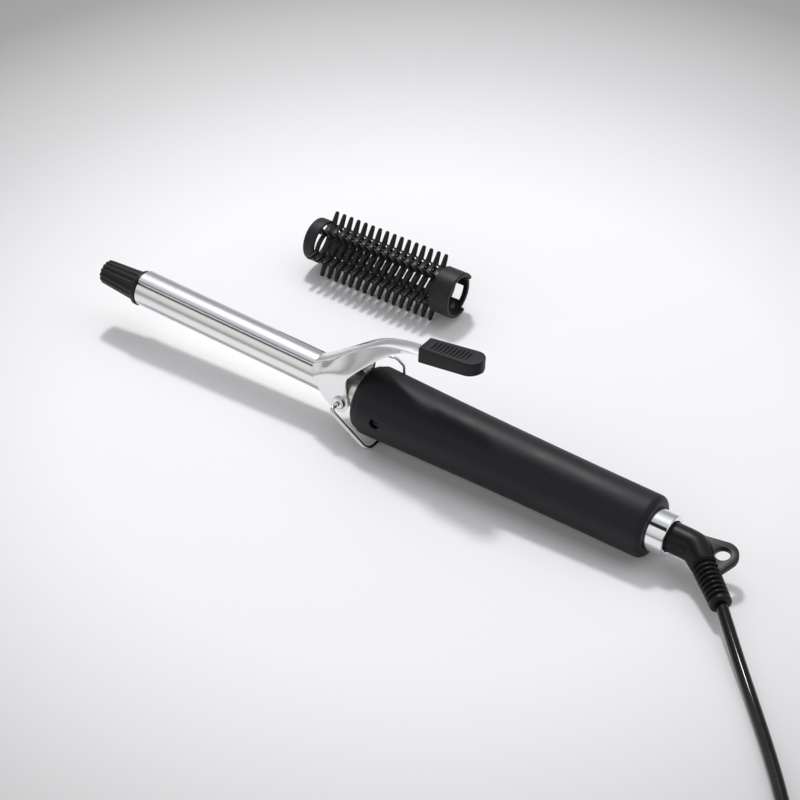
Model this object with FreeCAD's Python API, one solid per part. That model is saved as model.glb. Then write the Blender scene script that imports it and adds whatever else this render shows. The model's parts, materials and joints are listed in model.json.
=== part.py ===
import FreeCAD, Part
import math
import os

os.makedirs("parts", exist_ok=True)
Vec = FreeCAD.Vector

# Three frames are used, all in millimetres.
# Barrel frame: +X along the barrel's axis from the tip towards the cord, +Z up, the axis at y = z = 0,
# and x = 0 close to the clamp's pivot.
# Handle frame: the same, about the handle's axis, which slopes a little less and lies a little lower.
# Row frame: +Z up, z = 0 on the table, and the origin under the middle of the object's box.

# ---- driving dimensions: how the iron lies on the table
BARREL_TILT = 2.363     # degrees, the tip is the high end
BARREL_HEIGHT = 20.72   # the barrel's axis above the table at x = 0
HANDLE_TILT = 1.684
HANDLE_HEIGHT = 19.3
BOX_MID_X = 31.49       # middle of the object's box before it is moved to the row frame
BOX_MID_Y = 44.2

# ---- driving dimensions: barrel and tip
BARREL_R = 8.0
BARREL_WALL = 0.6
BARREL_FRONT = -122.0
BARREL_REAR = 38.0
TIP_FRONT = -145.6
TIP_FRONT_R = 5.9
TIP_REAR_R = 7.4
TIP_FLUTES = 14
FLANGE_R = 8.6
FLANGE_T = 2.4
HEATER_FRONT = -112.0
HEATER_REAR = -34.0

# ---- driving dimensions: pivot, clamp and stand
PIVOT_X = 0.7
PIVOT_Z = -2.8
COLLAR_T = 0.6
EAR_OUT_Y = 9.6
SHEET = 0.8
SHANK_R = 1.9
RIVET_BORE_R = 1.12
WIRE_R = 1.05
STRIP_GAP = 0.6
STRIP_HALF_ANGLE = 34.0
STRIP_REAR = -17.5
LEVER_TAIL_X = 62.0
SPRING_X = 6.8
SPRING_Y = 5.0
SPRING_Z = 11.5
SPRING_WIRE_R = 0.7
STAND_CORNER_Y = 16.5
STAND_FOOT = Vec(20.2, 14.1, -18.83)

# ---- driving dimensions: handle
NOSE_FRONT = 9.5
NOSE_R = 15.5
GRIP_FRONT = 12.7
GRIP_REAR = 161.0
GRIP_FRONT_R = 16.6
GRIP_REAR_R = 14.57
GRIP_WALL = 2.2
SCREW_X = 24.5
SCREW_ANGLE = -5.0      # below the horizontal, one on each side
SCREW_HOLE_R = 2.5
HOLDER_R = 13.4

# ---- driving dimensions: rear end and swivel
RING_R = 9.75
RING_BORE_R = 7.3
RING_FRONT = 157.5
RING_REAR = 170.1
BOOT_R = 6.9
ELBOW_X = 181.4
RELIEF_START = 10.5     # along the bent leg, from the elbow's corner
RELIEF_END = 32.6
SPINDLE_R = 4.5
EYE_X = 193.6
EYE_OUT = 1.9          # to the outer side of the bend
EYE_R = 6.9
EYE_HOLE_R = 3.3
EYE_T = 3.0

# ---- driving dimensions: cord and plug
CORD_R = 2.7
COIL_X = 346.0
COIL_Y = -124.0
COIL_MEAN_R = 32.4
COIL_COLUMNS = 4
COIL_LAYERS = 2
PLUG_X = 386.5
PLUG_FRONT_Y = -88.0
PLUG_LENGTH = 36.0
PLUG_AXIS_Z = 5.6
PIN_R = 2.0
PIN_LENGTH = 19.0
PIN_SPACING = 18.6

# ---- driving dimensions: brush sleeve
BRUSH_Y = 95.4
BRUSH_FRONT = -91.5
BRUSH_REAR = -4.3
BRUSH_ROWS = 6
BRISTLES = 16
BRISTLE_PITCH = 4.37
BRISTLE_FIRST = -83.6   # x of the first bristle in every second row
ROW_SHIFT = 1.6         # the other rows stand this much further along
BRISTLE_BASE_R = 1.2
BRISTLE_TIP_R = 16.7
BRISTLE_END_R = 0.7
BRUSH_BORE_R = 9.8      # through the end ring and the collar
LATTICE_BORE_R = 9.65
HOOP_R = 10.3
BRUSH_RING_R = 11.0
BRUSH_RING_W = 6.5
BRUSH_COLLAR_R = 11.7
BRUSH_COLLAR_W = 11.0

BEND = Vec(0.763, -0.632, -0.136)
BEND.normalize()
AXIS_X = Vec(1, 0, 0)
AXIS_Y = Vec(0, 1, 0)
BARREL_PLACE = FreeCAD.Placement(Vec(0, 0, BARREL_HEIGHT), FreeCAD.Rotation(AXIS_Y, BARREL_TILT))
HANDLE_PLACE = FreeCAD.Placement(Vec(0, 0, HANDLE_HEIGHT), FreeCAD.Rotation(AXIS_Y, HANDLE_TILT))
BRUSH_AXIS_Z = (BRISTLE_TIP_R - BRISTLE_END_R) * math.cos(math.pi / BRUSH_ROWS) + BRISTLE_END_R

nodes = {}


def add_table(name, shape):
    """Keep a piece that was modelled over the table, moved to the row frame."""
    moved = shape.copy()
    moved.translate(Vec(-BOX_MID_X, -BOX_MID_Y, 0))
    nodes[name] = moved


def placed(shape, placement):
    moved = shape.copy()
    moved.Placement = placement * moved.Placement
    return moved


def add_barrel(name, shape):
    """Keep a piece that was modelled in the barrel frame, as the iron lies."""
    add_table(name, placed(shape, BARREL_PLACE))


def add_handle(name, shape):
    """Keep a piece that was modelled in the handle frame, as the iron lies."""
    add_table(name, placed(shape, HANDLE_PLACE))


def to_handle(shape):
    """Take a shape from the barrel frame to the handle frame."""
    return placed(shape, HANDLE_PLACE.inverse() * BARREL_PLACE)


def rod(radius, start, end):
    """A cylinder between two points."""
    return Part.makeCylinder(radius, (end - start).Length, start, end - start)


def rod_x(radius, x0, x1, y=0.0, z=0.0):
    return rod(radius, Vec(x0, y, z), Vec(x1, y, z))


def ring_x(outer, inner, x0, x1):
    return rod_x(outer, x0, x1).cut(rod_x(inner, x0 - 1, x1 + 1))


def block(x0, x1, y0, y1, z0, z1):
    return Part.makeBox(x1 - x0, y1 - y0, z1 - z0, Vec(x0, y0, z0))


def turned(profile):
    """A solid of revolution about the X axis from (x, radius) points."""
    points = [Vec(x, 0, r) for x, r in profile]
    face = Part.Face(Part.makePolygon(points + points[:1]))
    return face.revolve(Vec(0, 0, 0), AXIS_X, 360)


def plate_xz(points, y0, y1):
    """A flat plate with an outline in X and Z, from y0 to y1."""
    corners = [Vec(x, y0, z) for x, z in points]
    return Part.Face(Part.makePolygon(corners + corners[:1])).extrude(Vec(0, y1 - y0, 0))


def joined(shapes):
    """Fuse overlapping shapes into one solid."""
    return shapes[0].multiFuse(shapes[1:]).removeSplitter()


def mirrored_y(shape):
    return shape.mirror(Vec(0, 0, 0), Vec(0, 1, 0))


def rounded(shape, radius, chosen):
    """Fillet the edges for which chosen(edge) is true."""
    return shape.makeFillet(radius, [edge for edge in shape.Edges if chosen(edge)])


def circle_edge_at(x, radius):
    """A test for the round edge about the X axis at one place."""
    def test(edge):
        box = edge.BoundBox
        return box.XLength < 0.01 and abs(box.XMin - x) < 0.01 and abs(box.ZLength - 2 * radius) < 0.02
    return test


def arc_path(points, radii):
    """Straight runs joined by tangent arcs, one radius for each inner point."""
    edges = []
    start = points[0]
    for i, radius in enumerate(radii):
        corner = points[i + 1]
        arriving = (corner - points[i]).normalize()
        leaving = (points[i + 2] - corner).normalize()
        half = arriving.getAngle(leaving) / 2
        first = corner - arriving * (radius * math.tan(half))
        last = corner + leaving * (radius * math.tan(half))
        inwards = (leaving - arriving).normalize()
        middle = corner + inwards * (radius / math.cos(half) - radius)
        if (first - start).Length > 1e-6:
            edges.append(Part.LineSegment(start, first).toShape())
        edges.append(Part.Arc(first, middle, last).toShape())
        start = last
    edges.append(Part.LineSegment(start, points[-1]).toShape())
    return Part.Wire(edges)


def wire_body(path, radius):
    """A round wire or cord along a path."""
    edge = path.Edges[0]
    circle = Part.makeCircle(radius, edge.valueAt(edge.FirstParameter), edge.tangentAt(edge.FirstParameter))
    return path.makePipeShell([Part.Wire([circle])], True, False)


def largest_radii(points):
    """The largest arc that each inner point's two runs allow."""
    radii = []
    for i in range(1, len(points) - 1):
        arriving = points[i] - points[i - 1]
        leaving = points[i + 1] - points[i]
        half = arriving.getAngle(leaving) / 2
        radii.append(0.45 * min(arriving.Length, leaving.Length) / math.tan(half))
    return radii


# ---- barrel, tip and heater

def make_cool_tip():
    flange_front = BARREL_FRONT - FLANGE_T
    cone = turned([(TIP_FRONT, 0), (TIP_FRONT, TIP_FRONT_R - 0.8), (TIP_FRONT + 0.8, TIP_FRONT_R),
                   (flange_front, TIP_REAR_R), (flange_front, 0)])
    for i in range(TIP_FLUTES):
        turn = math.radians(360 / TIP_FLUTES * i)
        depth_front = TIP_FRONT_R + 0.15
        depth_rear = TIP_REAR_R + 0.45
        start = Vec(TIP_FRONT - 1, depth_front * math.cos(turn), depth_front * math.sin(turn))
        end = Vec(flange_front - 0.8, depth_rear * math.cos(turn), depth_rear * math.sin(turn))
        cone = cone.cut(rod(0.75, start, end))
    flange = rounded(rod_x(FLANGE_R, flange_front, BARREL_FRONT), 0.7, circle_edge_at(flange_front, FLANGE_R))
    spigot = ring_x(BARREL_R - BARREL_WALL, 5.6, BARREL_FRONT, BARREL_FRONT + 8)
    return joined([cone, flange, spigot])


def make_heater():
    """A flat ceramic heater between two half-round aluminium spreaders."""
    half_t = 1.3
    spread_r = BARREL_R - BARREL_WALL
    ceramic = block(HEATER_FRONT, HEATER_REAR, -4.5, 4.5, -half_t, half_t)
    full = rod_x(spread_r, HEATER_FRONT, HEATER_REAR)
    lightening = block(HEATER_FRONT - 1, HEATER_REAR + 1, -2.2, 2.2, 3.4, 5.2)
    upper = full.common(block(HEATER_FRONT, HEATER_REAR, -9, 9, half_t, 9)).cut(lightening)
    lower = upper.mirror(Vec(0, 0, 0), Vec(0, 0, 1))
    return ceramic, upper, lower


def make_pivot_collar():
    """A band welded round the barrel, with a flat boss on each side for the rivet."""
    outer = BARREL_R + COLLAR_T
    band = ring_x(outer, BARREL_R, -7, 9)
    boss_y = EAR_OUT_Y - SHEET - 0.1
    boss = rod(3.3, Vec(PIVOT_X, -boss_y, PIVOT_Z), Vec(PIVOT_X, boss_y, PIVOT_Z))
    boss = boss.cut(rod_x(BARREL_R, -8, 10))
    hole = rod(SHANK_R, Vec(PIVOT_X, -12, PIVOT_Z), Vec(PIVOT_X, 12, PIVOT_Z))
    return joined([band, boss]).cut(hole)


def make_pivot_rivets():
    """Two hollow rivets: the clamp's ears turn on the shanks, the stand's ends turn in the bores."""
    shank = rod(SHANK_R, Vec(PIVOT_X, -9.75, PIVOT_Z), Vec(PIVOT_X, -BARREL_R, PIVOT_Z))
    head = rod(3.4, Vec(PIVOT_X, -11.4, PIVOT_Z), Vec(PIVOT_X, -9.7, PIVOT_Z))
    head = rounded(head, 1.1, lambda edge: abs(edge.BoundBox.YMin + 11.4) < 0.01 and edge.BoundBox.YLength < 0.01)
    bore = rod(RIVET_BORE_R, Vec(PIVOT_X, -12, PIVOT_Z), Vec(PIVOT_X, -BARREL_R + 1, PIVOT_Z))
    near = joined([shank, head]).cut(bore).cut(rod_x(BARREL_R, -8, 10))
    return Part.makeCompound([near, mirrored_y(near)])


# ---- clamp

def make_clamp_strip():
    inner = BARREL_R + STRIP_GAP
    full = ring_x(inner + SHEET, inner, BARREL_FRONT + 0.4, STRIP_REAR)
    reach = 14.0
    side = reach * math.tan(math.radians(STRIP_HALF_ANGLE))
    corners = [Vec(-130, 0, 0), Vec(-130, -side, reach), Vec(-130, side, reach)]
    wedge = Part.Face(Part.makePolygon(corners + corners[:1])).extrude(Vec(120, 0, 0))
    return full.common(wedge)


def lever_section(x, top, crease_y, low_y, low_z):
    """One cross-section of the lever: a channel that is open underneath."""
    crease_z = top - 0.7
    right = [Vec(x, low_y, low_z), Vec(x, crease_y, crease_z), Vec(x, 0, top)]
    inner = [Vec(x, 0, top - SHEET), Vec(x, crease_y - 0.75, crease_z - SHEET), Vec(x, low_y - SHEET, low_z)]
    left = [Vec(x, -p.y, p.z) for p in reversed(right[:2])]
    inner_left = [Vec(x, -p.y, p.z) for p in reversed(inner[1:])]
    return right + left + inner_left + inner


def skinned(sections):
    """A solid with flat triangles between sections that have the same number of corners."""
    faces = []
    for ring in (sections[0], sections[-1]):
        faces.append(Part.Face(Part.makePolygon(ring + ring[:1])))
    for here, there in zip(sections, sections[1:]):
        count = len(here)
        for i in range(count):
            j = (i + 1) % count
            for corners in ((here[i], here[j], there[j]), (here[i], there[j], there[i])):
                area = (corners[1] - corners[0]).cross(corners[2] - corners[0]).Length
                if area > 1e-6:
                    faces.append(Part.Face(Part.makePolygon(list(corners) + [corners[0]])))
    shell = Part.makeShell(faces)
    shell.sewShape()
    solid = Part.makeSolid(shell)
    return solid if solid.Volume > 0 else solid.reversed()


def make_clamp_lever():
    stations = [(STRIP_REAR, 9.4, 4.75, 8.0, 5.4), (-14.0, 10.9, 4.5, 9.4, 4.4), (-9.0, 14.4, 4.4, 9.6, 3.4),
                (-3.0, 19.3, 4.4, 9.6, 3.4), (3.1, 24.9, 4.3, 9.6, 3.4), (3.3, 25.1, 4.3, 9.5, 11.5),
                (9.0, 29.8, 4.3, 8.5, 18.0), (16.0, 34.0, 4.2, 6.7, 25.4), (23.0, 36.9, 4.2, 5.3, 31.8),
                (31.0, 38.4, 4.1, 4.4, 36.6)]
    channel = skinned([lever_section(*row) for row in stations])
    tail = plate_xz([(30.0, 36.9), (30.0, 37.9), (40.0, 39.7), (LEVER_TAIL_X, 42.6), (LEVER_TAIL_X, 41.6),
                     (40.0, 38.7)], -4.0, 4.0)
    outline = [(-14.2, 4.5), (-13.4, 2.6), (-9.4, -3.0), (-4.3, -6.4), (-1.8, -7.6), (0.7, -8.0), (3.0, -7.4),
               (4.6, -6.0), (5.3, -4.0), (5.1, -1.4), (4.0, 2.0), (3.3, 5.0), (2.6, 5.2), (-13.0, 5.2)]
    ear = plate_xz(outline, -EAR_OUT_Y - 0.05, -EAR_OUT_Y + SHEET)
    lever = joined([channel, tail, ear, mirrored_y(ear)])
    return lever.cut(rod(SHANK_R + 0.05, Vec(PIVOT_X, -12, PIVOT_Z), Vec(PIVOT_X, 12, PIVOT_Z)))


def make_thumb_rest():
    side = [(39.0, 35.2), (39.0, 43.6), (70.0, 48.1), (70.0, 41.4)]
    body = plate_xz(side, -6.0, 6.0)
    front_half = 4.9
    rear_half = 5.9
    plan = [Vec(38, -front_half, 20), Vec(64, -rear_half, 20)]
    plan_end = Part.Arc(Vec(64, -rear_half, 20), Vec(69.9, 0, 20), Vec(64, rear_half, 20)).toShape()
    sides = [Part.LineSegment(plan[0], plan[1]).toShape(), plan_end,
             Part.LineSegment(Vec(64, rear_half, 20), Vec(38, front_half, 20)).toShape(),
             Part.LineSegment(Vec(38, front_half, 20), plan[0]).toShape()]
    body = body.common(Part.Face(Part.Wire(sides)).extrude(Vec(0, 0, 60)))
    slope = (48.1 - 43.6) / (70.0 - 39.0)
    ribs = []
    for i in range(10):
        x = 44.0 + 2.0 * i
        top = 43.6 + slope * (x - 39.0)
        ribs.append(block(x, x + 0.9, -3.4, 3.4, top - 1.0, top + 0.65))
    pocket = plate_xz([(38.0, 38.35), (38.0, 39.5), (40.0, 39.75), (LEVER_TAIL_X, 42.65), (LEVER_TAIL_X, 41.55),
                       (40.0, 38.65)], -4.05, 4.05)
    return joined([body] + ribs).cut(pocket)


def make_clamp_spring():
    """Torsion spring: one arm hooks into the handle's top, the coil lies on the barrel's collar in
    front of the handle, and the free arm bears on the lever from below. The coil is solid here."""
    hooked = [Vec(SPRING_X + 1.9, 5.2, SPRING_Z), Vec(9.4, 5.1, 17.6), Vec(13.6, 5.0, 21.6), Vec(21.2, 5.0, 23.2),
              Vec(25.5, SPRING_Y, 20.8), Vec(25.5, SPRING_Y, 13.0)]
    free = [Vec(SPRING_X - 1.9, 2.6, SPRING_Z), Vec(4.4, 2.6, 18.0), Vec(1.2, 2.6, 20.9)]
    coil = rod(2.6, Vec(SPRING_X, 1.9, SPRING_Z), Vec(SPRING_X, 5.9, SPRING_Z))
    core = rod(1.2, Vec(SPRING_X, 1.0, SPRING_Z), Vec(SPRING_X, 7.0, SPRING_Z))
    arms = [wire_body(arc_path(hooked, [4.0, 5.0, 3.0, 2.4]), SPRING_WIRE_R),
            wire_body(arc_path(free, [3.0]), SPRING_WIRE_R)]
    return joined([coil.cut(core)] + arms)


# ---- stand

def make_stand():
    foot = STAND_FOOT
    points = [Vec(PIVOT_X, -8.6, PIVOT_Z), Vec(PIVOT_X, -STAND_CORNER_Y, PIVOT_Z), Vec(foot.x, -foot.y, foot.z),
              Vec(foot.x, foot.y, foot.z), Vec(PIVOT_X, STAND_CORNER_Y, PIVOT_Z), Vec(PIVOT_X, 8.6, PIVOT_Z)]
    return wire_body(arc_path(points, [2.2, 4.5, 4.5, 2.2]), WIRE_R)


# ---- handle

def grip_outline_radius(x):
    along = (x - GRIP_FRONT) / (GRIP_REAR - GRIP_FRONT)
    return GRIP_REAR_R + (GRIP_FRONT_R - GRIP_REAR_R) * (1 - along) ** 2


def grip_solid(offset, x0, x1):
    """The grip's outer form, made smaller by offset, between two stations."""
    r0 = grip_outline_radius(x0) - offset
    r1 = grip_outline_radius(x1) - offset
    slope = -2 * (GRIP_FRONT_R - GRIP_REAR_R) * (1 - (x0 - GRIP_FRONT) / (GRIP_REAR - GRIP_FRONT))
    middle = r0 + slope / (GRIP_REAR - GRIP_FRONT) * (x1 - x0) / 2
    curve = Part.BezierCurve()
    curve.setPoles([Vec(x0, 0, r0), Vec((x0 + x1) / 2, 0, middle), Vec(x1, 0, r1)])
    ends = [Vec(x1, 0, r1), Vec(x1, 0, 0), Vec(x0, 0, 0), Vec(x0, 0, r0)]
    edges = [curve.toShape()]
    for a, b in zip(ends, ends[1:]):
        edges.append(Part.LineSegment(a, b).toShape())
    return Part.Face(Part.Wire(edges)).revolve(Vec(0, 0, 0), AXIS_X, 360)


def screw_line(side):
    """Direction of one handle screw, outwards from the axis."""
    angle = math.radians(SCREW_ANGLE)
    return Vec(0, side * math.cos(angle), -math.sin(angle))


def make_handle_nose():
    nose = rounded(rod_x(NOSE_R, NOSE_FRONT, GRIP_FRONT), 2.4, circle_edge_at(NOSE_FRONT, NOSE_R))
    nose = nose.cut(to_handle(rod_x(BARREL_R, 0, 30)))
    spigot = ring_x(HOLDER_R + 0.7, HOLDER_R, GRIP_FRONT - 0.5, GRIP_FRONT + 3.0)
    return joined([nose, spigot])


def make_handle_grip():
    outer = grip_solid(0, GRIP_FRONT, GRIP_REAR)
    outer = rounded(outer, 2.6, lambda edge: circle_edge_at(GRIP_REAR, GRIP_REAR_R)(edge))
    outer = rounded(outer, 1.4, lambda edge: circle_edge_at(GRIP_FRONT, GRIP_FRONT_R)(edge))
    grip = outer.cut(grip_solid(GRIP_WALL, GRIP_FRONT, GRIP_REAR - 3.0))
    grip = grip.cut(rod_x(RING_R + 0.05, GRIP_REAR - 4, GRIP_REAR + 1))
    for side in (-1, 1):
        line = screw_line(side)
        grip = grip.cut(rod(SCREW_HOLE_R, Vec(SCREW_X, 0, 0) + line * 11, Vec(SCREW_X, 0, 0) + line * 18))
    return grip.cut(to_handle(rod(1.1, Vec(25.5, SPRING_Y, 10), Vec(25.5, SPRING_Y, 20))))


def make_barrel_holder():
    """Inner frame that grips the barrel's rear end and takes the two screws."""
    holder = rod_x(HOLDER_R, GRIP_FRONT, BARREL_REAR - 1).cut(to_handle(rod_x(BARREL_R, 0, BARREL_REAR + 5)))
    for side in (-1, 1):
        line = screw_line(side)
        holder = holder.cut(rod(1.25, Vec(SCREW_X, 0, 0) + line * 8, Vec(SCREW_X, 0, 0) + line * 15))
    return holder.cut(to_handle(rod(1.1, Vec(25.5, SPRING_Y, 12.6), Vec(25.5, SPRING_Y, 20))))


def make_handle_screws():
    screws = []
    for side in (-1, 1):
        line = screw_line(side)
        centre = Vec(SCREW_X, 0, 0)
        shank = rod(1.2, centre + line * 8.6, centre + line * 13.6)
        head = rod(2.0, centre + line * 13.5, centre + line * 14.6)
        across = line.cross(AXIS_X)
        slot = block(-2.2, 2.2, -0.3, 0.3, 0, 1)
        slot.Placement = FreeCAD.Placement(centre + line * 14.1, FreeCAD.Rotation(AXIS_X, across, line))
        screws.append(joined([shank, head]).cut(slot))
    return Part.makeCompound(screws)


# ---- rear end and swivel

def make_rear_ring():
    ring = ring_x(RING_R, RING_BORE_R, RING_FRONT, RING_REAR)
    ring = rounded(ring, 0.6, circle_edge_at(RING_REAR, RING_R))
    return rounded(ring, 0.4, circle_edge_at(RING_REAR, RING_BORE_R))


def make_swivel_socket():
    """Bearing for the spindle, fixed in the grip."""
    return ring_x(11.9, SPINDLE_R + 0.06, 149.5, RING_FRONT)


def make_swivel_spindle():
    journal = rod_x(SPINDLE_R, 149.2, 158.0)
    nose = rod_x(3.0, 138.0, 149.2)
    groove = ring_x(SPINDLE_R + 1, SPINDLE_R - 1.0, 147.6, 148.8)
    neck = rod_x(SPINDLE_R, 147.0, 149.2)
    return joined([journal, nose, neck]).cut(groove)


def make_contacts():
    """Two leaf springs: one reaches over the slip ring, one stands before the centre pin."""
    over_ring = joined([block(128.0, 146.0, -2.0, 2.0, 4.6, 5.0), block(128.0, 128.5, -2.0, 2.0, 3.4, 5.0)])
    before_pin = joined([block(133.2, 133.6, -2.0, 2.0, -6.0, 1.2), block(128.0, 133.6, -2.0, 2.0, -6.4, -6.0)])
    return Part.makeCompound([over_ring, before_pin])


def make_contact_carrier():
    disc = rod_x(11.6, 123.0, 128.0)
    for z in (-4.0, 4.0):
        disc = disc.cut(rod_x(1.5, 122, 129, 0, z))
    return disc


def make_terminals():
    crimps = []
    for z in (-4.0, 4.0):
        crimps.append(rod_x(1.45, 119.0, 127.5, 0, z))
    return Part.makeCompound(crimps)


def elbow_plane_point(along, outwards):
    """A point in the elbow's plane: along the iron, and to the outer side of the bend."""
    sideways = Vec(0, -BEND.y, -BEND.z).normalize()
    return Vec(along, 0, 0) + sideways * outwards


def tangent_points(centre, radius, outside):
    """Where lines from an outside point touch a circle, as (along, outwards) pairs."""
    dx = outside[0] - centre[0]
    dy = outside[1] - centre[1]
    spread = math.acos(radius / math.hypot(dx, dy))
    direction = math.atan2(dy, dx)
    found = []
    for turn in (direction + spread, direction - spread):
        found.append((centre[0] + radius * math.cos(turn), centre[1] + radius * math.sin(turn)))
    return found


def make_boot():
    corner = Vec(ELBOW_X, 0, 0)
    straight = rod_x(BOOT_R, 158.0, ELBOW_X)
    ball = Part.makeSphere(BOOT_R, corner)
    leg = Part.makeCone(BOOT_R, 5.7, RELIEF_START, corner, BEND)
    side_bend = math.hypot(BEND.y, BEND.z)
    eye = (EYE_X, EYE_OUT)
    on_boot = (174.0, 5.4)
    on_leg = (ELBOW_X + BEND.x * 20.0, -side_bend * 20.0)
    outer = max(tangent_points(eye, EYE_R, on_boot), key=lambda p: p[1])
    inner = max(tangent_points(eye, EYE_R, on_leg), key=lambda p: p[0])
    outline = [elbow_plane_point(*p) for p in (on_boot, outer, eye, inner, on_leg, (ELBOW_X, -1.0))]
    normal = (outline[1] - outline[0]).cross(outline[3] - outline[0]).normalize()
    down = normal * (-EYE_T / 2)
    fin = Part.Face(Part.makePolygon(outline + outline[:1])).extrude(normal * EYE_T)
    fin.translate(down)
    centre = elbow_plane_point(*eye)
    pad = Part.makeCylinder(EYE_R, EYE_T, centre + down, normal)
    hole = Part.makeCylinder(EYE_HOLE_R, EYE_T + 2, centre + down - normal, normal)
    clear = Part.makeCone(5.75, 5.0, RELIEF_END - RELIEF_START, corner + BEND * RELIEF_START, BEND)
    plate = joined([fin, pad]).cut(hole).cut(clear)
    biggest = max(plate.Solids, key=lambda solid: solid.Volume)
    return joined([straight, ball, leg, biggest])


def make_strain_relief():
    """Ribbed sleeve round the cord, slightly tapered."""
    corner = Vec(ELBOW_X, 0, 0)
    length = RELIEF_END - RELIEF_START
    core = Part.makeCone(4.7, 4.0, length, corner + BEND * RELIEF_START, BEND)
    pieces = [core]
    ribs = 8
    pitch = (length - 1.0) / ribs
    for i in range(ribs):
        radius = 5.6 - 0.9 * i / (ribs - 1)
        place = corner + BEND * (RELIEF_START + pitch * (i + 0.35))
        pieces.append(Part.makeCylinder(radius, pitch * 0.62, place, BEND))
    return joined(pieces)


# ---- cord, coil, tie and plug, over the table

def table_point(point):
    """A point of the handle frame over the table."""
    return HANDLE_PLACE.multVec(point)


def cord_route():
    """The uncoiled stretch, from the strain relief to where the coil begins."""
    start = table_point(Vec(ELBOW_X, 0, 0) + BEND * RELIEF_END)
    return [start, Vec(222.0, -37.0, 4.9), Vec(240.6, -56.4, CORD_R), Vec(259.3, -77.0, CORD_R),
            Vec(276.0, -96.6, CORD_R), Vec(296.6, -123.0, CORD_R), Vec(314.1, -148.9, CORD_R)]


def coil_radius(column):
    return COIL_MEAN_R + (column - (COIL_COLUMNS - 1) / 2) * 2 * CORD_R


def make_coil():
    outer = coil_radius(COIL_COLUMNS - 1) + CORD_R
    inner = coil_radius(0) - CORD_R
    height = COIL_LAYERS * 2 * CORD_R
    centre = Vec(COIL_X, COIL_Y, 0)
    up = Vec(0, 0, 1)
    return Part.makeCylinder(outer, height, centre, up).cut(Part.makeCylinder(inner, height, centre, up))


def tail_route():
    """The last stretch, from the coil's outer turn to the plug."""
    outer = coil_radius(COIL_COLUMNS - 1)
    return [Vec(COIL_X + outer, COIL_Y + 1, 3 * CORD_R), Vec(COIL_X + outer + 0.4, COIL_Y + 18, 7.2),
            Vec(PLUG_X, PLUG_FRONT_Y, PLUG_AXIS_Z)]


def make_cord_tie():
    """A band round the coil's section, on the +Y side."""
    outer = coil_radius(COIL_COLUMNS - 1) + CORD_R
    inner = coil_radius(0) - CORD_R
    height = COIL_LAYERS * 2 * CORD_R
    y0 = COIL_Y + inner
    y1 = COIL_Y + outer
    band = block(COIL_X - 4, COIL_X + 4, y0 - 1.2, y1 + 1.2, 0, height + 1.0)
    return band.cut(make_coil()).cut(block(COIL_X - 5, COIL_X + 5, y0, y1, 0, height))


def make_plug():
    half_w = 13.0
    rear_y = PLUG_FRONT_Y + PLUG_LENGTH
    outline = [Vec(PLUG_X - 4.2, PLUG_FRONT_Y, 0), Vec(PLUG_X - half_w, PLUG_FRONT_Y + 20, 0),
               Vec(PLUG_X - half_w, rear_y, 0), Vec(PLUG_X + half_w, rear_y, 0),
               Vec(PLUG_X + half_w, PLUG_FRONT_Y + 20, 0), Vec(PLUG_X + 4.2, PLUG_FRONT_Y, 0)]
    body = Part.Face(Part.makePolygon(outline + outline[:1])).extrude(Vec(0, 0, 2 * PLUG_AXIS_Z))
    body = rounded(body, 2.0, lambda edge: edge.BoundBox.ZLength > 5)
    pins = []
    for side in (-1, 1):
        x = PLUG_X + side * PIN_SPACING / 2
        tip = Vec(x, rear_y + PIN_LENGTH, PLUG_AXIS_Z)
        pin = rod(PIN_R, Vec(x, rear_y - 1, PLUG_AXIS_Z), tip)
        pin = rounded(pin, 0.9, lambda edge: edge.BoundBox.YMin > rear_y + PIN_LENGTH - 0.01)
        root = rod(PIN_R + 0.4, Vec(x, rear_y - 6, PLUG_AXIS_Z), Vec(x, rear_y, PLUG_AXIS_Z))
        pins.append(joined([pin, root]))
    for pin in pins:
        body = body.cut(pin)
    return body, Part.makeCompound(pins)


# ---- brush sleeve, lying on its bristles beside the iron

def about_brush(radius, angle, x):
    """A point at a radius and an angle from straight up, about the brush's axis."""
    turn = math.radians(angle)
    return Vec(x, BRUSH_Y + radius * math.sin(turn), BRUSH_AXIS_Z + radius * math.cos(turn))


def brush_ring(outer, inner, x0, x1):
    axis_y = BRUSH_Y
    axis_z = BRUSH_AXIS_Z
    return rod_x(outer, x0, x1, axis_y, axis_z).cut(rod_x(inner, x0 - 1, x1 + 1, axis_y, axis_z))


def make_brush_ring():
    return brush_ring(BRUSH_RING_R, BRUSH_BORE_R, BRUSH_FRONT, BRUSH_FRONT + BRUSH_RING_W)


def make_brush_collar():
    """End collar whose outer rim is cut back over part of its turn."""
    collar = brush_ring(BRUSH_COLLAR_R, BRUSH_BORE_R, BRUSH_REAR - BRUSH_COLLAR_W, BRUSH_REAR)
    points = [about_brush(0, 0, BRUSH_REAR - 2.2), about_brush(30, 62, BRUSH_REAR - 2.2),
              about_brush(30, 110, BRUSH_REAR - 2.2), about_brush(30, 158, BRUSH_REAR - 2.2)]
    notch = Part.Face(Part.makePolygon(points + points[:1])).extrude(Vec(5, 0, 0))
    return collar.cut(notch)


def brush_row_angle(row):
    return 360 / BRUSH_ROWS * (row + 0.5)


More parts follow.
